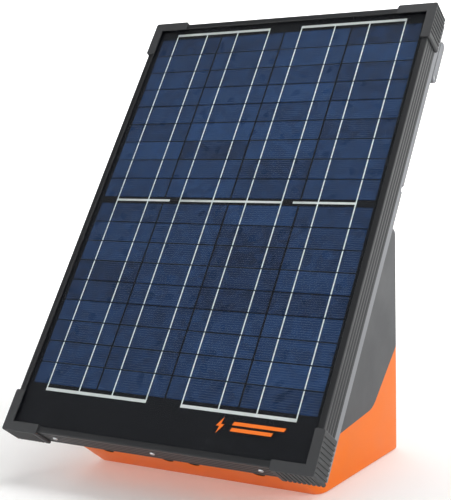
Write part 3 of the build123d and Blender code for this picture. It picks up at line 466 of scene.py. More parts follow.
def machined(name, tint, rough, grain, stretch=(1.0, 1.0, 1.0), turn=0.0, metallic=1.0, spread=0.12):
    """A bare or plated metal: long fine marks from drawing or turning, which also vary the
    roughness."""
    made, tree, shader = new_finish(name, Metallic=metallic)
    marks = noise_in(tree, grain, detail=3.0, stretch=stretch, turn=turn)
    sway = spread / 2
    vary(tree, shader, marks, shade(tint, 1 + spread), shade(tint, 1 - spread), rough - sway, rough + sway)
    raise_by(tree, shader, marks.outputs["Fac"], 0.03 * MM * spread)
    return made


def tempered_glass():
    """Tempered low-iron solar glass: clear, with a soft sheen and a faint rolled ripple. It lets
    lamps through, so the cells under it are lit as they are in the open."""
    tint = linear("#f4faf8")
    made, tree, shader = new_finish(
        "tempered_solar_glass", Base_Color=tint, Roughness=0.07, IOR=1.45, Transmission_Weight=1.0
    )
    ripple = noise_in(tree, 14.0 * MM, detail=1.0)
    raise_by(tree, shader, ripple.outputs["Fac"], 0.01 * MM)
    path = add_node(tree, "LightPath")
    clear = add_node(tree, "BsdfTransparent", {"Color": linear("#f2f6f4")})
    choice = {0: path.outputs["Is Shadow Ray"], 1: shader.outputs["BSDF"], 2: clear.outputs["BSDF"]}
    mixed = add_node(tree, "MixShader", choice)
    output = next(node for node in tree.nodes if node.type == "OUTPUT_MATERIAL")
    tree.links.new(mixed.outputs[0], output.inputs["Surface"])
    return made


def wave_scale(pitch):
    """Scale at which a wave pattern's bands stand a pitch apart: at a scale of one the pattern
    turns by 20 radians in a metre."""
    return tau / (20 * pitch)


def silicon(colours):
    """Polycrystalline silicon under a blue antireflective coat: flat crystal grains a few
    millimetres wide that each shine differently, a tone of its own for each cell, and fine printed
    fingers across, drawn wider than their 0.1 mm so that they show."""
    made, tree, shader = new_finish("polycrystalline_silicon", IOR=1.5, Specular_IOR_Level=0.15)
    coords = add_node(tree, "TexCoord")
    grain, bend_size, bend_reach, finger_pitch = 7.0 * MM, 9.0 * MM, 4.0 * MM, 2.4 * MM
    lean = {"Vector": coords.outputs["Object"], "Rotation": (PANEL_SLOPE, 0.0, 0.0)}
    flat = add_node(tree, "Mapping", lean, vector_type="TEXTURE").outputs["Vector"]
    bent = add_node(tree, "TexNoise", {"Vector": flat, "Scale": 1 / bend_size, "Detail": 2.0})
    push = {0: bent.outputs["Color"], 1: (bend_reach, bend_reach, 0.0), 2: flat}
    warped = add_node(tree, "VectorMath", push, operation="MULTIPLY_ADD").outputs["Vector"]
    grains = add_node(tree, "TexVoronoi", {"Vector": warped, "Scale": 1 / grain}, voronoi_dimensions="2D")
    split = add_node(tree, "SeparateColor", {"Color": grains.outputs["Color"]})
    tone = add_node(tree, "Attribute", attribute_name="tone")
    share = {0: split.outputs["Red"], 1: 0.22, 2: tone.outputs["Fac"]}
    level = add_node(tree, "Math", share, operation="MULTIPLY_ADD", use_clamp=True)
    blue = mixed_colour(tree, level.outputs[0], colours.cell_dark, colours.cell_light)
    wave = {"Vector": flat, "Scale": wave_scale(finger_pitch), "Distortion": 0.0}
    lines = add_node(tree, "TexWave", wave, wave_type="BANDS", bands_direction="Y")
    crests = {"From Min": 0.9, "From Max": 1.0, "To Min": 0.0, "To Max": 0.16}
    fingers = add_node(tree, "MapRange", {"Value": lines.outputs["Fac"], **crests})
    drawn = mixed_colour(tree, fingers.outputs["Result"], blue, linear("#a9b3c0"))
    tree.links.new(drawn, shader.inputs["Base Color"])
    shine = add_node(tree, "MapRange", {"Value": split.outputs["Green"], "To Min": 0.26, "To Max": 0.5})
    tree.links.new(shine.outputs["Result"], shader.inputs["Roughness"])
    return made


def wound_wire():
    """Enamelled copper wire in close layers: fine even turns, glossy and warm."""
    made, tree, shader = new_finish("enamelled_copper_wire", Metallic=1.0)
    coords = add_node(tree, "TexCoord")
    wire_width = 0.6 * MM
    wave = {"Vector": coords.outputs["Object"], "Scale": wave_scale(wire_width), "Distortion": 0.3}
    turns = add_node(tree, "TexWave", wave, wave_type="BANDS", bands_direction="Z")
    # The colour darkens between the turns: painted shade in the creases between the round wires.
    vary(tree, shader, turns, linear("#c9742e"), linear("#7a3a16"), 0.25, 0.4)
    raise_by(tree, shader, turns.outputs["Fac"], 0.15 * MM)
    return made


def laminated_core():
    """Stacked steel sheets, dull grey, with a fine line between them: drawn every millimetre, twice
    as coarse as the sheets are, so that the lines show."""
    made, tree, shader = new_finish("laminated_steel_core", Metallic=1.0)
    coords = add_node(tree, "TexCoord")
    drawn_sheet = 1.0 * MM
    wave = {"Vector": coords.outputs["Object"], "Scale": wave_scale(drawn_sheet), "Distortion": 0.1}
    sheets = add_node(tree, "TexWave", wave, wave_type="BANDS", bands_direction="X")
    vary(tree, shader, sheets, linear("#8b8d8f"), linear("#4a4c4f"), 0.4, 0.6)
    raise_by(tree, shader, sheets.outputs["Fac"], 0.05 * MM)
    return made


def signal_lenses():
    """Tinted clear polycarbonate: red, amber and green side by side, picked by where each lens
    stands."""
    made, tree, shader = new_finish(
        "tinted_polycarbonate", Roughness=0.12, IOR=1.58, Transmission_Weight=0.35
    )
    coords = add_node(tree, "TexCoord")
    split = add_node(tree, "SeparateXYZ", {"Vector": coords.outputs["Object"]})
    low, high = extent("status_lenses", ACROSS)
    step = (high - low) / 3
    tint = linear("#37c24a")
    for place, code in ((low + step, "#f0a818"), (high - step, "#d8281c")):
        past = add_node(tree, "Math", {0: split.outputs["X"], 1: place}, operation="GREATER_THAN")
        tint = mixed_colour(tree, past.outputs[0], tint, linear(code))
    tree.links.new(tint, shader.inputs["Base Color"])
    return made


def make_finishes(colours):
    """All finishes of the object by name."""
    drawn_along, drawn_across = (1.0, 60.0, 1.0), (60.0, 1.0, 1.0)
    return {
        # Black anodised drawn aluminium: near-black satin metal with fine lines along the rail.
        "rail_along": machined(
            "anodised_aluminium_along", colours.rail, 0.42, 3.0 * MM, drawn_along, PANEL_SLOPE, 0.5, 0.03
        ),
        "rail_across": machined(
            "anodised_aluminium_across", colours.rail, 0.42, 3.0 * MM, drawn_across, PANEL_SLOPE, 0.5, 0.03
        ),
        # Matt polypropylene: soft black with a fine grain.
        "cap": moulded("polypropylene_black", colours.cap, 0.55, 1.4 * MM, 0.04 * MM),
        # Satin orange ABS: saturated, with a soft shine.
        "tub": moulded("abs_orange", colours.tub, 0.36, 1.3 * MM, 0.02 * MM, 0.05, Specular_IOR_Level=0.15),
        # Spark-eroded grey ABS: dull and slightly grainy.
        "housing": moulded("abs_dark_grey", colours.housing, 0.5, 1.5 * MM, 0.05 * MM, 0.06),
        "tray": moulded("abs_light_grey", colours.tray, 0.5, 1.5 * MM, 0.04 * MM, 0.06),
        # Black polyester film behind the cells: flat, with a slight sheen.
        "film": moulded(
            "polyester_film_black", linear("#16151b"), 0.42, 2.5 * MM, 0.01 * MM, 0.15, Specular_IOR_Level=0.1
        ),
        "glass": tempered_glass(),
        "silicon": silicon(colours),
        # Tin-dipped copper ribbon: bright silver with small ripples of solder.
        "ribbon": machined(
            "tinned_copper_ribbon", linear("#f0f1f2"), 0.45, 6.0 * MM, metallic=0.3, spread=0.04
        ),
        # Screen-printed ink on the glass and on the plate.
        "mark": moulded("printed_ink_orange", colours.mark, 0.45, 2.0 * MM, 0.005 * MM, 0.04),
        "print": moulded("printed_ink_white", linear("#e8e8e4"), 0.5, 2.0 * MM, 0.005 * MM, 0.04),
        "control": moulded("nylon_black", linear("#1d1e20"), 0.4, 1.2 * MM, 0.03 * MM),
        "rubber": moulded("silicone_rubber_black", linear("#161617"), 0.7, 2.0 * MM, 0.03 * MM),
        "red": moulded("abs_red", linear("#b8180f"), 0.34, 1.4 * MM, 0.02 * MM, 0.06),
        "green": moulded("abs_green", linear("#127a33"), 0.34, 1.4 * MM, 0.02 * MM, 0.06),
        # Zinc-plated steel: pale grey with a slightly cloudy shine.
        "zinc": machined("zinc_plated_steel", linear("#b9bbbd"), 0.36, 2.0 * MM),
        # Turned stainless steel: brighter, with fine rings round its axis.
        "stainless": machined("stainless_steel", linear("#c9c9c8"), 0.27, 0.5 * MM, (6.0, 0.5, 6.0)),
        "brass": machined("turned_brass", linear("#c59a4a"), 0.28, 0.5 * MM, (6.0, 0.5, 6.0)),
        "board": moulded("solder_mask_green", linear("#0d5a2c"), 0.3, 4.0 * MM, 0.03 * MM, 0.2),
        "battery": moulded("abs_battery_case", linear("#2f3033"), 0.5, 1.5 * MM, 0.04 * MM),
        "sleeve": moulded("shrink_sleeve_blue", linear("#1d2f6e"), 0.25, 5.0 * MM, 0.02 * MM),
        "lead_black": moulded("pvc_black", linear("#18181a"), 0.45, 2.0 * MM, 0.02 * MM),
        "lead_red": moulded("pvc_red", linear("#a8150e"), 0.45, 2.0 * MM, 0.02 * MM),
        "copper": wound_wire(),
        "core": laminated_core(),
        "lens": signal_lenses(),
    }


finishes = {}


class ENERGIZER_OT_finishes(bpy.types.Operator):
    """Makes the finishes and gives every carried-over node its own"""

    bl_idname = "energizer.finishes"
    bl_label = "Finishes"

    def execute(self, context):
        finishes.update(make_finishes(context.scene.energizer_colours))
        given = {
            "film": ("backsheet",),
            "ribbon": ("battery_tabs",),
            "control": ("junction_box", "junction_lid", "rotary_switch", "button_switch", "board_components"),
            "rubber": ("housing_gasket",),
            "zinc": (
                "panel_bolts", "panel_nuts", "board_screws", "battery_strap", "strap_screws", "handle_pins",
                "cap_hinge_pin", "switch_shaft", "frame_rivets", "plate_screws", "housing_screws",
            ),
            "stainless": ("stud_nuts", "terminal_studs"),
            "brass": ("charge_pins",),
            "board": ("circuit_board",),
            "battery": ("battery",),
            "sleeve": ("storage_capacitors",),
            "lead_black": ("battery_lead_black", "earth_lead", "panel_lead"),
            "lead_red": ("battery_lead_red", "fence_lead"),
            "copper": ("transformer_winding",),
            "core": ("transformer_core",),
            "lens": ("status_lenses",),
        }
        for finish, carried in given.items():
            for node in carried:
                nodes[node].data.materials.clear()
                nodes[node].data.materials.append(finishes[finish])
        return {"FINISHED"}


# Solar panel ------------------------------------------------------------------------------------
def cell_field(sizes):
    """Middle of the field of cells up the slope, and the middles of its two strings."""
    low, high = extent("solar_cells", UP_SLOPE)
    centre = (low + high) / 2
    string = (sizes.rows - 1) * sizes.pitch_along + sizes.cell_height
    shift = (string + sizes.string_gap) / 2
    return centre, (centre - shift, centre + shift)


def cell_places(sizes):
    """Middles of the cells, across and up the slope, string by string."""
    _, strings = cell_field(sizes)
    across = (np.arange(sizes.columns) - (sizes.columns - 1) / 2) * sizes.pitch_across
    along = (np.arange(sizes.rows) - (sizes.rows - 1) / 2) * sizes.pitch_along
    along = np.concatenate([string + along for string in strings])
    grid_along, grid_across = np.meshgrid(along, across, indexing="ij")
    return grid_across.ravel(), grid_along.ravel()


class ENERGIZER_OT_cells(bpy.types.Operator):
    """Thin silicon cells, each with a tone of its own"""

    bl_idname = "energizer.cells"
    bl_label = "Solar cells"

    def execute(self, context):
        sizes = context.scene.energizer_panel
        bottom, top = extent("solar_cells", OUTWARD)
        corner, rim = 0.8 * MM, 0.05 * MM
        cell = slab(sizes.cell_width / 2, sizes.cell_height / 2, corner, bottom, top, rim, PANEL_AXES)
        across, along = cell_places(sizes)
        moves = along_axes(across, along, 0 * across, PANEL_AXES)
        skin = repeated(cell, moves)
        # Tones lie about a middle and are kept clear of the darkest and the lightest grains.
        chance = np.random.default_rng(7)
        middle_tone, spread, darkest, lightest = 0.32, 0.11, 0.08, 0.62
        tone = chance.normal(middle_tone, spread, len(moves)).clip(darkest, lightest)
        tone = np.repeat(tone, len(cell[1]))
        make_piece(
            "solar_cells_cut", skin, finishes["silicon"], "case", ("solar_cells",), tone=tone
        )
        return {"FINISHED"}


class ENERGIZER_OT_ribbons(bpy.types.Operator):
    """Soldered ribbons that dip between the cells, and the ribbons that join the columns"""

    bl_idname = "energizer.ribbons"
    bl_label = "Ribbons"

    def execute(self, context):
        sizes = context.scene.energizer_panel
        bottom, top = extent("cell_ribbons", OUTWARD)
        low, high = extent("cell_ribbons", UP_SLOPE)
        _, right = extent("cell_ribbons", ACROSS)
        centre, _ = cell_field(sizes)
        ease = 0.175 * (top - bottom)
        ribbon_section = np.array([(-1, 0), (1, 0), (1, 0.65), (0.55, 1), (-0.55, 1), (-1, 0.65)])
        # A busbar runs along one cell: its height falls away as the eighth power of the distance
        # from the cell's middle, so that only its ends dip towards the gap.
        reach = np.linspace(-1.0, 1.0, 9)
        cell_rim, corner = 0.2 * MM, 0.6 * MM
        half = sizes.cell_height / 2 - cell_rim
        dip = 0.8 * (top - bottom) * reach**8
        rings = [
            along_axes(
                ribbon_section[:, 0] * sizes.busbar_width / 2,
                step * half,
                bottom - drop * 0.2 + ribbon_section[:, 1] * (top - bottom - drop),
                PANEL_AXES,
            )
            for step, drop in zip(reach, dip)
        ]
        busbar = tube(np.stack(rings))
        across, along = cell_places(sizes)
        moves = np.concatenate(
            [
                along_axes(across + side * sizes.busbar_offset, along, 0 * across, PANEL_AXES)
                for side in (-1, 1)
            ]
        )
        parts = [repeated(busbar, moves)]
        pair = sizes.pitch_across
        outer = pair / 2 + sizes.busbar_offset + sizes.busbar_width / 2
        end = sizes.end_ribbon_width / 2
        cross = sizes.cross_ribbon_width / 2
        link_middle = (sizes.link_start + right) / 2
        link_half = (right - sizes.link_start) / 2
        joins = [(side * pair, level, outer, end) for level in (low + end, high - end) for side in (-1, 1)]
        joins += [(0.0, centre, outer, cross)]
        joins += [(side * link_middle, centre, link_half, cross) for side in (-1, 1)]
        for place, level, half_width, half_height in joins:
            parts.append(
                slab(half_width, half_height, corner, bottom, top, ease, PANEL_AXES, (place, level))
            )
        # Short tails carry each busbar on from the outermost cells to the joining ribbons.
        columns = (np.arange(sizes.columns) - (sizes.columns - 1) / 2) * sizes.pitch_across
        field = (sizes.rows * 2 - 1) * sizes.pitch_along / 2 + sizes.string_gap / 2
        end_lap, tail_corner = 0.8 * MM, 0.2 * MM
        gap_half = sizes.string_gap / 2 + 0.5 * MM
        tails = [(low, centre - field + end_lap), (centre + field - end_lap, high)]
        tails += [(centre - gap_half, centre + gap_half)]
        half_width, tail_top, rim = sizes.busbar_width / 2, top - 0.02 * MM, 0.03 * MM
        for column in columns:
            for side in (-1, 1):
                for start, stop in tails:
                    place = (column + side * sizes.busbar_offset, (start + stop) / 2)
                    half_height = (stop - start) / 2
                    parts.append(
                        slab(half_width, half_height, tail_corner, bottom, tail_top, rim, PANEL_AXES, place)
                    )
        skin = joined(parts)
        make_piece("tinned_ribbons", skin, finishes["ribbon"], "case", ("cell_ribbons",))
        return {"FINISHED"}


class ENERGIZER_OT_glass(bpy.types.Operator):
    """The tempered pane with ground edges"""

    bl_idname = "energizer.glass"
    bl_label = "Glass"

    def execute(self, context):
        left, right = extent("solar_glass", ACROSS)
        low, high = extent("solar_glass", UP_SLOPE)
        bottom, top = extent("solar_glass", OUTWARD)
        half_width, half_height = (right - left) / 2, (high - low) / 2
        corner, ground, place = 1.5 * MM, 0.4 * MM, (0.0, (low + high) / 2)
        pane = slab(half_width, half_height, corner, bottom, top, ground, PANEL_AXES, place)
        make_piece("panel_glass_pane", pane, finishes["glass"], "case", ("solar_glass",))
        return {"FINISHED"}


def rail_profile(sizes, depth):
    """Section of a rail as (inward, above its back) points: an outer wall with rounded grooves, a
    rounded lip over the glass, a ledge under the laminate and a flange at the back."""
    wall, lip, lip_thick = 1.6 * MM, 6.0 * MM, 1.8 * MM
    flange, ledge_top = 14.0 * MM, depth - 5.85 * MM
    shoulder, lip_ease, back_ease = 0.5 * MM, 0.4 * MM, 0.3 * MM
    points = [(0.0, back_ease)]
    for index in range(sizes.groove_count):
        level = depth / (sizes.groove_count + 1) * (index + 1)
        half = sizes.groove_width / 2
        points += [
            (0.0, level - half - shoulder),
            (sizes.groove_depth * 0.6, level - half),
            (sizes.groove_depth, level - half / 2),
            (sizes.groove_depth, level + half / 2),
            (sizes.groove_depth * 0.6, level + half),
            (0.0, level + half + shoulder),
        ]
    ease = 0.9 * MM
    corner = np.linspace(0, pi / 2, 6)
    points += [(ease * (1 - cos(a)), depth - ease + ease * sin(a)) for a in corner]
    points += [(lip - lip_ease, depth), (lip, depth - lip_ease)]
    points += [(lip, depth - lip_thick), (wall, depth - lip_thick)]
    points += [(wall, ledge_top), (lip, ledge_top), (lip, ledge_top - wall), (wall, ledge_top - wall)]
    points += [(wall, wall), (flange, wall), (flange, 0.0), (back_ease, 0.0)]
    return np.array(points)


class ENERGIZER_OT_rails(bpy.types.Operator):
    """The four mitred rails of the panel's frame"""

    bl_idname = "energizer.rails"
    bl_label = "Frame rails"

    def execute(self, context):
        sizes = context.scene.energizer_panel
        back, front = extent("frame_rail_top", OUTWARD)
        left, right = extent("frame_rail_top", ACROSS)
        low, high = extent("frame_rail_left", UP_SLOPE)
        profile = rail_profile(sizes, front - back)
        half_width, half_length = (right - left) / 2, (high - low) / 2
        centre = (low + high) / 2
        steps = np.linspace(-1.0, 1.0, 5)[:, None]
        inward, level = profile[:, 0][None], (back + profile[:, 1])[None] + 0 * steps
        # A rail's point runs along its side between the two mitres, which come in as fast as the
        # section does: along = step * (half side - inward).
        flat = 0 * steps
        for name, across, along, finish in (
            ("left", flat - 1, steps, "rail_along"),
            ("right", flat + 1, steps, "rail_along"),
            ("bottom", steps, flat - 1, "rail_across"),
            ("top", steps, flat + 1, "rail_across"),
        ):
            node = f"frame_rail_{name}"
            skin = tube(
                along_axes(
                    across * (half_width - inward), centre + along * (half_length - inward), level, PANEL_AXES
                )
            )
            make_piece(node + "_drawn", skin, finishes[finish], "case", (node,), 28.0)
        return {"FINISHED"}


class ENERGIZER_OT_mark(bpy.types.Operator):
    """A plain printed mark low on the glass: a bolt beside two stripes"""

    bl_idname = "energizer.mark"
    bl_label = "Printed mark"

    def execute(self, context):
        _, glass_front = extent("solar_glass", OUTWARD)
        low, _ = extent("frame_rail_left", UP_SLOPE)
        height = context.scene.energizer_controls.print_height
        level, stripe_rise = low + 32.5 * MM, 2.9 * MM
        bolt_place, upper_stripe, lower_stripe = 68.0 * MM, 107.0 * MM, 101.0 * MM
        bottom = glass_front + 0.02 * MM
        top = bottom + height
        bolt = np.array([(2.4, 8.0), (-4.2, -1.0), (-0.6, -1.0), (-2.4, -8.0), (4.2, 1.0), (0.6, 1.0)]) * MM
        slanted = np.array([(-27.0, -1.7), (25.5, -1.7), (27.0, 1.7), (-25.5, 1.7)]) * MM
        parts = [
            printed(outline, bottom, top, PANEL_AXES, place)
            for outline, place in (
                (bolt, (bolt_place, level)),
                (slanted, (upper_stripe, level + stripe_rise)),
                (slanted * (0.8, 1.0), (lower_stripe, level - stripe_rise)),
            )
        ]
        make_piece("printed_mark", joined(parts), finishes["mark"], "case")
        return {"FINISHED"}


class ENERGIZER_OT_caps(bpy.types.Operator):
    """The four ribbed corner caps"""

    bl_idname = "energizer.caps"
    bl_label = "Corner caps"

    def execute(self, context):
        ease = 0.35 * MM
        for row in ("top", "bottom"):
            for column in ("left", "right"):
                node = f"corner_cap_{row}_{column}"
                softened_copy(node, "_moulded", finishes["cap"], ease)
        return {"FINISHED"}


# Housing ----------------------------------------------------------------------------------------
class ENERGIZER_OT_housing(bpy.types.Operator):
    """The tub, the upper housing, the tray and the handle, with eased edges"""

    bl_idname = "energizer.housing"
    bl_label = "Housing"

    def execute(self, context):
        for node, finish, ease, slot in (
            ("base_tub", "tub", 0.45 * MM, "orange_plastic"),
            ("upper_housing", "housing", 0.45 * MM, "grey_plastic"),
            ("panel_tray", "tray", 0.4 * MM, "light_grey_plastic"),
            ("carry_handle", "tray", 0.6 * MM, "light_grey_plastic"),
        ):
            softened_copy(node, "_moulded", finishes[finish], ease)
        return {"FINISHED"}


class ENERGIZER_OT_moulded_marks(bpy.types.Operator):
    """Small raised arrows beside two of the screw pockets under the panel"""

    bl_idname = "energizer.moulded_marks"
    bl_label = "Moulded marks"

    def execute(self, context):
        sizes = context.scene.energizer_controls
        _, face = extent("base_tub", -UP_SLOPE)
        level = middle("housing_screws") @ OUTWARD
        arrow = np.array([(-2.0, -2.0), (2.0, -2.0), (0.0, 2.0)]) * MM
        sunk, raised = 0.5 * MM, 0.45 * MM
        parts = [
            printed(arrow, face - sunk, face + raised, FRONT_AXES, (place, level))
            for place in (sizes.left_arrow, sizes.right_arrow)
        ]
        make_piece("moulded_arrows", joined(parts), finishes["tub"], "case")
        return {"FINISHED"}


# Controls ---------------------------------------------------------------------------------------
class ENERGIZER_OT_pocket_shade_cups(bpy.types.Operator):
    """Painted shade: thin black cups set into the four screw pockets, dark stand-ins for the shade inside
    them
    """

    bl_idname = "energizer.pocket_liners"
    bl_label = "Pocket shade cups"

    def execute(self, context):
        sizes = context.scene.energizer_controls
        _, face = extent("base_tub", -UP_SLOPE)
        head = face - sizes.pocket_depth
        clearance, rim_inset = 0.03 * MM, 0.3 * MM
        outer = sizes.pocket_radius - clearance
        inner = outer - sizes.shade_cup_wall
        rim = face - rim_inset
        profile = [(outer, head), (outer, rim), (inner, rim), (inner, head)]
        level = middle("housing_screws") @ OUTWARD
        cup = turned(profile, TURNED_SPOKES, FRONT_AXES, closed=True)
        moves = [ACROSS * place + OUTWARD * level for place in sizes.pocket_places]
        # Black cups in the pockets: painted shade.
        make_piece("pocket_shade_cups", repeated(cup, moves), finishes["rubber"], "case")
        return {"FINISHED"}


class ENERGIZER_OT_controls(bpy.types.Operator):
    """Control plate, mode knob, test button and charging socket, with eased edges"""

    bl_idname = "energizer.controls"
    bl_label = "Controls"

    def execute(self, context):
        for node, finish, ease, slot in (
            ("control_plate", "control", 0.4 * MM, "control_black"),
            ("mode_knob", "control", 0.35 * MM, "control_black"),
            ("test_button", "rubber", 0.25 * MM, "gasket_rubber"),
            ("charge_socket", "control", 0.25 * MM, "control_black"),
            ("socket_cap", "rubber", 0.3 * MM, "gasket_rubber"),
        ):
            softened_copy(node, "_moulded", finishes[finish], ease)
        washer_ease = 0.15 * MM
        for node in ("fence_washer", "earth_washer"):
            softened_copy(node, "_turned", finishes["stainless"], washer_ease)
        return {"FINISHED"}


def arc_band(inner, outer, start, stop, steps=24):
    """Outline of a flat band between two arcs about the middle, from one angle to another."""
    angle = np.linspace(start, stop, steps)
    there = np.stack((np.cos(angle), np.sin(angle)), 1)
    return np.concatenate((there * outer, there[::-1] * inner))


def stroke(start, stop, width):
    """Outline of a straight stroke of the given width between two points."""
    start, stop = np.asarray(start, float), np.asarray(stop, float)
    ahead = (stop - start) / np.linalg.norm(stop - start)
    aside = np.array((-ahead[1], ahead[0])) * width / 2
    return np.array((start - aside, stop - aside, stop + aside, start + aside))


class ENERGIZER_OT_plate_print(bpy.types.Operator):
    """White symbols on the control plate and the knob's pointer line"""

    bl_idname = "energizer.plate_print"
    bl_label = "Plate print"

    def execute(self, context):
        height = context.scene.energizer_controls.print_height
        _, plate = extent("control_plate", REARWARD)
        knob_centre, button = middle("mode_knob"), middle("test_button")
        lens_low, lens_high = extent("status_lenses", ACROSS)
        lens_level = middle("status_lenses")[2]
        levels = (plate, plate + height)
        knob_place = (knob_centre[0], knob_centre[2])
        shapes = []
        # Scale on the side to which the knob turns: ticks at its two ends and its middle, and a band
        # that grows wider.
        tick_start, tick_stop, tick_width = 19.0 * MM, 22.5 * MM, 1.0 * MM
        band_radius, steps = 20.3 * MM, 24
        for degrees in (0, 45, 90):
            spoke = np.array((sin(radians(degrees)), cos(radians(degrees))))
            shapes.append((stroke(spoke * tick_start, spoke * tick_stop, tick_width), knob_place))
        angle = np.linspace(radians(85), radians(5), steps)
        there = np.stack((np.cos(angle), np.sin(angle)), 1)
        swell = np.linspace(0.3, 2.0, steps)[:, None] * MM
        band = np.concatenate((there * (band_radius + swell), there[::-1] * band_radius))
        shapes.append((band, knob_place))
        # Ring round the button, and a sun, a battery and a bolt under the lenses.
        button_place = (button[0], button[2])
        ring_inner, ring_outer, fine, rays = 8.6 * MM, 9.4 * MM, 0.4 * MM, 8
        for start in (0.0, pi):
            shapes.append((arc_band(ring_inner, ring_outer, start, start + pi, 32), button_place))
        symbol_level, lens_inset = lens_level - 6.6 * MM, 2.5 * MM
        sun_place = (lens_high - lens_inset, symbol_level)
        sun_middle, sun_radius, nearly_round = 0.0001 * MM, 1.1 * MM, tau * 0.999
        ray_start, ray_stop = 1.6 * MM, 2.5 * MM
        shapes.append((arc_band(sun_middle, sun_radius, 0.0, nearly_round, 20), sun_place))
        for ray in range(rays):
            spoke = np.array((cos(ray * tau / rays), sin(ray * tau / rays)))
            shapes.append((stroke(spoke * ray_start, spoke * ray_stop, fine), sun_place))
        battery_place = ((lens_low + lens_high) / 2, symbol_level)
        for start, stop in (
            ((-2.4, -1.4), (2.4, -1.4)),
            ((-2.4, 1.4), (2.4, 1.4)),
            ((-2.4, -1.6), (-2.4, 1.6)),
            ((2.4, -1.6), (2.4, 1.6)),
            ((2.9, -0.6), (2.9, 0.6)),
        ):
            shapes.append((stroke(np.array(start) * MM, np.array(stop) * MM, fine), battery_place))
        bolt = np.array([(0.8, 2.6), (-1.4, -0.3), (-0.2, -0.3), (-0.8, -2.6), (1.4, 0.3), (0.2, 0.3)]) * MM
        shapes.append((bolt, (lens_low + lens_inset, symbol_level)))
        parts = [printed(outline, *levels, REAR_AXES, place) for outline, place in shapes]
        make_piece("plate_symbols", joined(parts), finishes["print"], "case")
        _, knob_top = extent("mode_knob", REARWARD)
        pointer_start, pointer_stop, pointer_width, sunk = 4.0 * MM, 12.0 * MM, 1.4 * MM, 0.3 * MM
        pointer = stroke((0.0, pointer_start), (0.0, pointer_stop), pointer_width)
        mark = printed(pointer, knob_top - sunk, knob_top + height, REAR_AXES, knob_place)
        make_piece("knob_pointer", mark, finishes["print"], "mode_control")
        return {"FINISHED"}


# Terminals --------------------------------------------------------------------------------------
class ENERGIZER_OT_terminals(bpy.types.Operator):
    """Threaded studs, ribbed insulators and lobed clamp knobs"""

    bl_idname = "energizer.terminals"
    bl_label = "Terminals"

    def execute(self, context):
        sizes = context.scene.energizer_controls
        start, stop = extent("terminal_studs", REARWARD)
        names = ("fence", "earth")
        places = [middle(f"{name}_clamp_knob") * (ACROSS + UPRIGHT) for name in names]
        stud_radius = extent("terminal_studs", ACROSS)[1] - places[0][0]
        tip_length, tip_radius, tip_chamfer, tip_shoulder = 12.0 * MM, 2.5 * MM, 0.6 * MM, 0.3 * MM
        spokes, per_turn = 24, 8
        angle = tau * np.arange(spokes) / spokes
        rows = int((stop - start - tip_length) / sizes.thread_pitch * per_turn)
        level = np.linspace(start, stop - tip_length, rows)
        # Thread: the radius falls in a triangle wave of the phase level / pitch - angle / turn, so
        # that the crests climb one pitch in each turn.
        phase = (level[:, None] / sizes.thread_pitch - angle / tau) % 1.0
        radius = stud_radius - sizes.thread_depth * np.abs(2 * phase - 1)
        tip_radii = np.array([tip_radius, tip_radius, tip_radius - tip_chamfer])
        tip_levels = np.array([stop - tip_length + tip_shoulder, stop - tip_chamfer, stop])
        radius = np.concatenate((radius, np.repeat(tip_radii[:, None], spokes, 1)))
        rise = np.concatenate((level, tip_levels))[:, None] + 0 * angle
        stud = tube(along_axes(radius * np.cos(angle), radius * np.sin(angle), rise, REAR_AXES))
        skin, node = repeated(stud, places), "terminal_studs"
        make_piece(
            node + "_threaded", skin, finishes["stainless"], "case", (node,), 60.0
        )
        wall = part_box("terminal_insulators")[0].y
        _, crown = extent("terminal_insulators", REARWARD)
        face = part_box("base_tub")[1].y
        # Neck through the wall, then a flange and two ribs, each with its eased rim, as radius and
        # height over the wall's face in millimetres.
        neck, crown_radius = 8.0 * MM, 10.6 * MM
        ribs = [
            (8.0, 0.0), (15.9, 0.0), (15.9, 1.6), (15.2, 2.2), (13.6, 2.3), (13.2, 2.8),
            (13.2, 4.2), (12.9, 4.6), (11.4, 4.7), (11.0, 5.2), (11.0, 6.6),
        ]
        profile = [(stud_radius, wall), (neck, wall)]
        profile += [(rib_radius * MM, face + height * MM) for rib_radius, height in ribs]
        profile += [(crown_radius, crown), (stud_radius, crown)]
        insulator = turned(profile, TURNED_SPOKES, REAR_AXES, closed=True)
        skin, node = repeated(insulator, places), "terminal_insulators"
        make_piece(node + "_ribbed", skin, finishes["control"], "case", (node,))
        knob_spokes, bore_clearance = 144, 0.05 * MM
        for name, tint, place in zip(names, ("red", "green"), places):
            node = f"{name}_clamp_knob"
            seat, top = extent(node, REARWARD)
            grip = extent(node, UPRIGHT)[1] - place[2]
            around = tau * np.arange(knob_spokes) / knob_spokes
            # Section from the bore out and back, as shares of the grip's radius and height.
            section = np.array(
                [(0.24, 0.0), (0.9, 0.0), (0.97, 0.05), (1.0, 0.14), (1.0, 0.8), (0.95, 0.92), (0.82, 0.99),
                 (0.6, 1.0), (0.5, 0.95), (0.42, 0.95), (0.36, 1.0), (0.24, 1.0)]
            )
            bore_share = (stud_radius + bore_clearance) / grip
            share = np.where(section[:, 0] < 0.3, bore_share, section[:, 0])
            # Lobes: the radius is drawn in by lobe_depth between the lobes, fully at the rim and
            # not at all near the bore, as the smooth half of a cosine.
            hollow = (0.5 - 0.5 * np.cos(sizes.knob_lobes * around)) ** 2
            depth = np.clip((share - 0.6) / 0.3, 0.0, 1.0)[:, None] * sizes.lobe_depth * hollow
            radius = share[:, None] * grip - depth
            rise = (seat + section[:, 1] * (top - seat))[:, None] + 0 * around
            points = along_axes(radius * np.cos(around), radius * np.sin(around), rise, REAR_AXES) + place
            skin = (points.reshape(-1, 3), grid_quads(len(section), knob_spokes, wrap_rows=True))
            make_piece(node + "_lobed", skin, finishes[tint], f"{name}_knob", (node,))
        return {"FINISHED"}


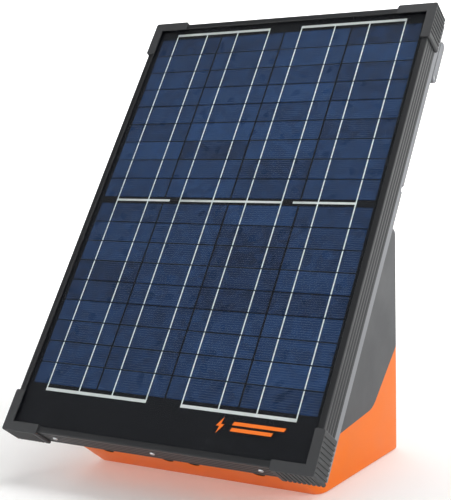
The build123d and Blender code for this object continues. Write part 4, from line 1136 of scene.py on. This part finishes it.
# Stage ------------------------------------------------------------------------------------------
def pale_floor():
    """Matt white board with a painted glow: an emission that is weak near the object and grows away from it,
    so the floor is brighter far off; pale, with a trace of unevenness."""
    made, tree, shader = new_finish("studio_board_white", IOR=1.4, Emission_Color=linear("#ffffff"))
    coords = add_node(tree, "TexCoord")
    # Painted glow: the emission strength rises with the distance from the object's middle.
    away = add_node(tree, "VectorMath", {0: coords.outputs["Object"]}, operation="LENGTH")
    span = {"From Min": 0.35, "From Max": 1.5, "To Min": 0.14, "To Max": 0.75}
    glow = add_node(
        tree, "MapRange", {"Value": away.outputs["Value"], **span}, interpolation_type="SMOOTHSTEP"
    )
    tree.links.new(glow.outputs["Result"], shader.inputs["Emission Strength"])
    drift = noise_in(tree, 0.4, detail=2.0)
    vary(tree, shader, drift, linear("#f4f4f3"), linear("#efefee"), 0.85, 0.95)
    return made


def add_light(name, place, aim, size, power):
    """A white square soft light at a place, turned towards an aim."""
    lamp = bpy.data.lights.new(name, "AREA")
    lamp.shape = "SQUARE"
    lamp.size = size
    lamp.energy = power
    light = bpy.data.objects.new(name, lamp)
    light.location = place
    light.rotation_mode = "QUATERNION"
    light.rotation_quaternion = (Vector(aim) - Vector(place)).to_track_quat("-Z", "Y")
    light.visible_camera = False
    bpy.context.scene.collection.objects.link(light)


class ENERGIZER_OT_stage(bpy.types.Operator):
    """Floor with a curved rise all round, soft lights and the camera"""

    bl_idname = "energizer.stage"
    bl_label = "Stage"

    def execute(self, context):
        scene = context.scene
        stage = scene.energizer_stage
        # Floor and wall in one turned sheet: flat, then a quarter circle, then straight up.
        curve = np.linspace(0, pi / 2, 24)
        floor_drop = 0.2 * MM
        reach = stage.floor_reach + stage.cove_radius * np.sin(curve)
        bend = np.stack((reach, stage.cove_radius * (1 - np.cos(curve))), 1)
        profile = np.concatenate(([(0.001, 0.0)], bend, [(bend[-1, 0], stage.wall_height)]))
        spokes = 128
        points, faces = turned(profile, spokes, (ACROSS, REARWARD, UPRIGHT))
        faces.append(list(range(spokes))[::-1])
        mesh = bpy.data.meshes.new("studio_floor")
        mesh.from_pydata((points - UPRIGHT * floor_drop).tolist(), [], faces)
        mesh.shade_smooth()
        floor = bpy.data.objects.new("studio_floor", mesh)
        mesh.materials.append(pale_floor())
        scene.collection.objects.link(floor)

        object_middle = (0.0, 0.0, 0.2)
        for name, place, size, power in (
            ("key_right", (1.9, -0.9, 1.5), 1.3, 13.0),
            ("fill_front", (0.3, -2.2, 1.3), 1.4, 5.0),
            ("top", (0.2, 0.6, 2.3), 1.6, 34.0),
            ("rear_left", (-1.6, 1.6, 1.5), 1.3, 9.0),
        ):
            add_light(name, place, object_middle, size, power)

        world = bpy.data.worlds.new("studio_air")
        world.use_nodes = True
        tree = world.node_tree
        tree.nodes.clear()
        air = add_node(tree, "Background", {"Color": linear("#eef0f2"), "Strength": 0.13})
        add_node(tree, "OutputWorld", {"Surface": air.outputs["Background"]})
        scene.world = world
        scene.view_settings.view_transform = "Standard"

        lens = bpy.data.cameras.new("camera")
        lens.lens = stage.focal_length
        lens.shift_x, lens.shift_y = stage.shift_across, stage.shift_up
        lens.clip_start, lens.clip_end = 0.05, 50.0
        camera = bpy.data.objects.new("camera", lens)
        camera.location = stage.camera_place
        # From looking down: rolled, raised to the drop below the horizon, then turned to the left.
        turn = Euler((0.0, 0.0, stage.camera_turn)).to_matrix()
        drop = Euler((pi / 2 - stage.camera_drop, 0.0, 0.0)).to_matrix()
        roll = Euler((0.0, 0.0, stage.camera_roll)).to_matrix()
        camera.rotation_mode = "QUATERNION"
        camera.rotation_quaternion = (turn @ drop @ roll).to_quaternion()
        scene.collection.objects.link(camera)
        scene.camera = camera
        return {"FINISHED"}


# Add-on -----------------------------------------------------------------------------------------
OPERATORS = (
    ENERGIZER_OT_finishes,
    ENERGIZER_OT_cells,
    ENERGIZER_OT_ribbons,
    ENERGIZER_OT_glass,
    ENERGIZER_OT_rails,
    ENERGIZER_OT_mark,
    ENERGIZER_OT_caps,
    ENERGIZER_OT_housing,
    ENERGIZER_OT_moulded_marks,
    ENERGIZER_OT_pocket_shade_cups,
    ENERGIZER_OT_controls,
    ENERGIZER_OT_plate_print,
    ENERGIZER_OT_terminals,
    ENERGIZER_OT_stage,
)
GROUPS = {
    "energizer_panel": EnergizerPanelSizes,
    "energizer_controls": EnergizerControlSizes,
    "energizer_colours": EnergizerColours,
    "energizer_stage": EnergizerStage,
}


class ENERGIZER_PT_pieces(bpy.types.Panel):
    """Lists the pieces in the order in which they are made"""

    bl_label = "Fence energizer"
    bl_idname = "ENERGIZER_PT_pieces"
    bl_space_type = "VIEW_3D"
    bl_region_type = "UI"
    bl_category = "Energizer"

    def draw(self, context):
        for operator in OPERATORS:
            self.layout.operator(operator.bl_idname)


def register():
    for group in GROUPS.values():
        bpy.utils.register_class(group)
    for operator in OPERATORS:
        bpy.utils.register_class(operator)
    bpy.utils.register_class(ENERGIZER_PT_pieces)
    for name, group in GROUPS.items():
        setattr(bpy.types.Scene, name, PointerProperty(type=group))


def unregister():
    for name in GROUPS:
        delattr(bpy.types.Scene, name)
    bpy.utils.unregister_class(ENERGIZER_PT_pieces)
    for operator in reversed(OPERATORS):
        bpy.utils.unregister_class(operator)
    for group in reversed(tuple(GROUPS.values())):
        bpy.utils.unregister_class(group)


def main():
    """Builds every piece in order."""
    register()
    for operator in OPERATORS:
        group, name = operator.bl_idname.split(".")
        getattr(getattr(bpy.ops, group), name)()


if __name__ == "__main__":
    main()
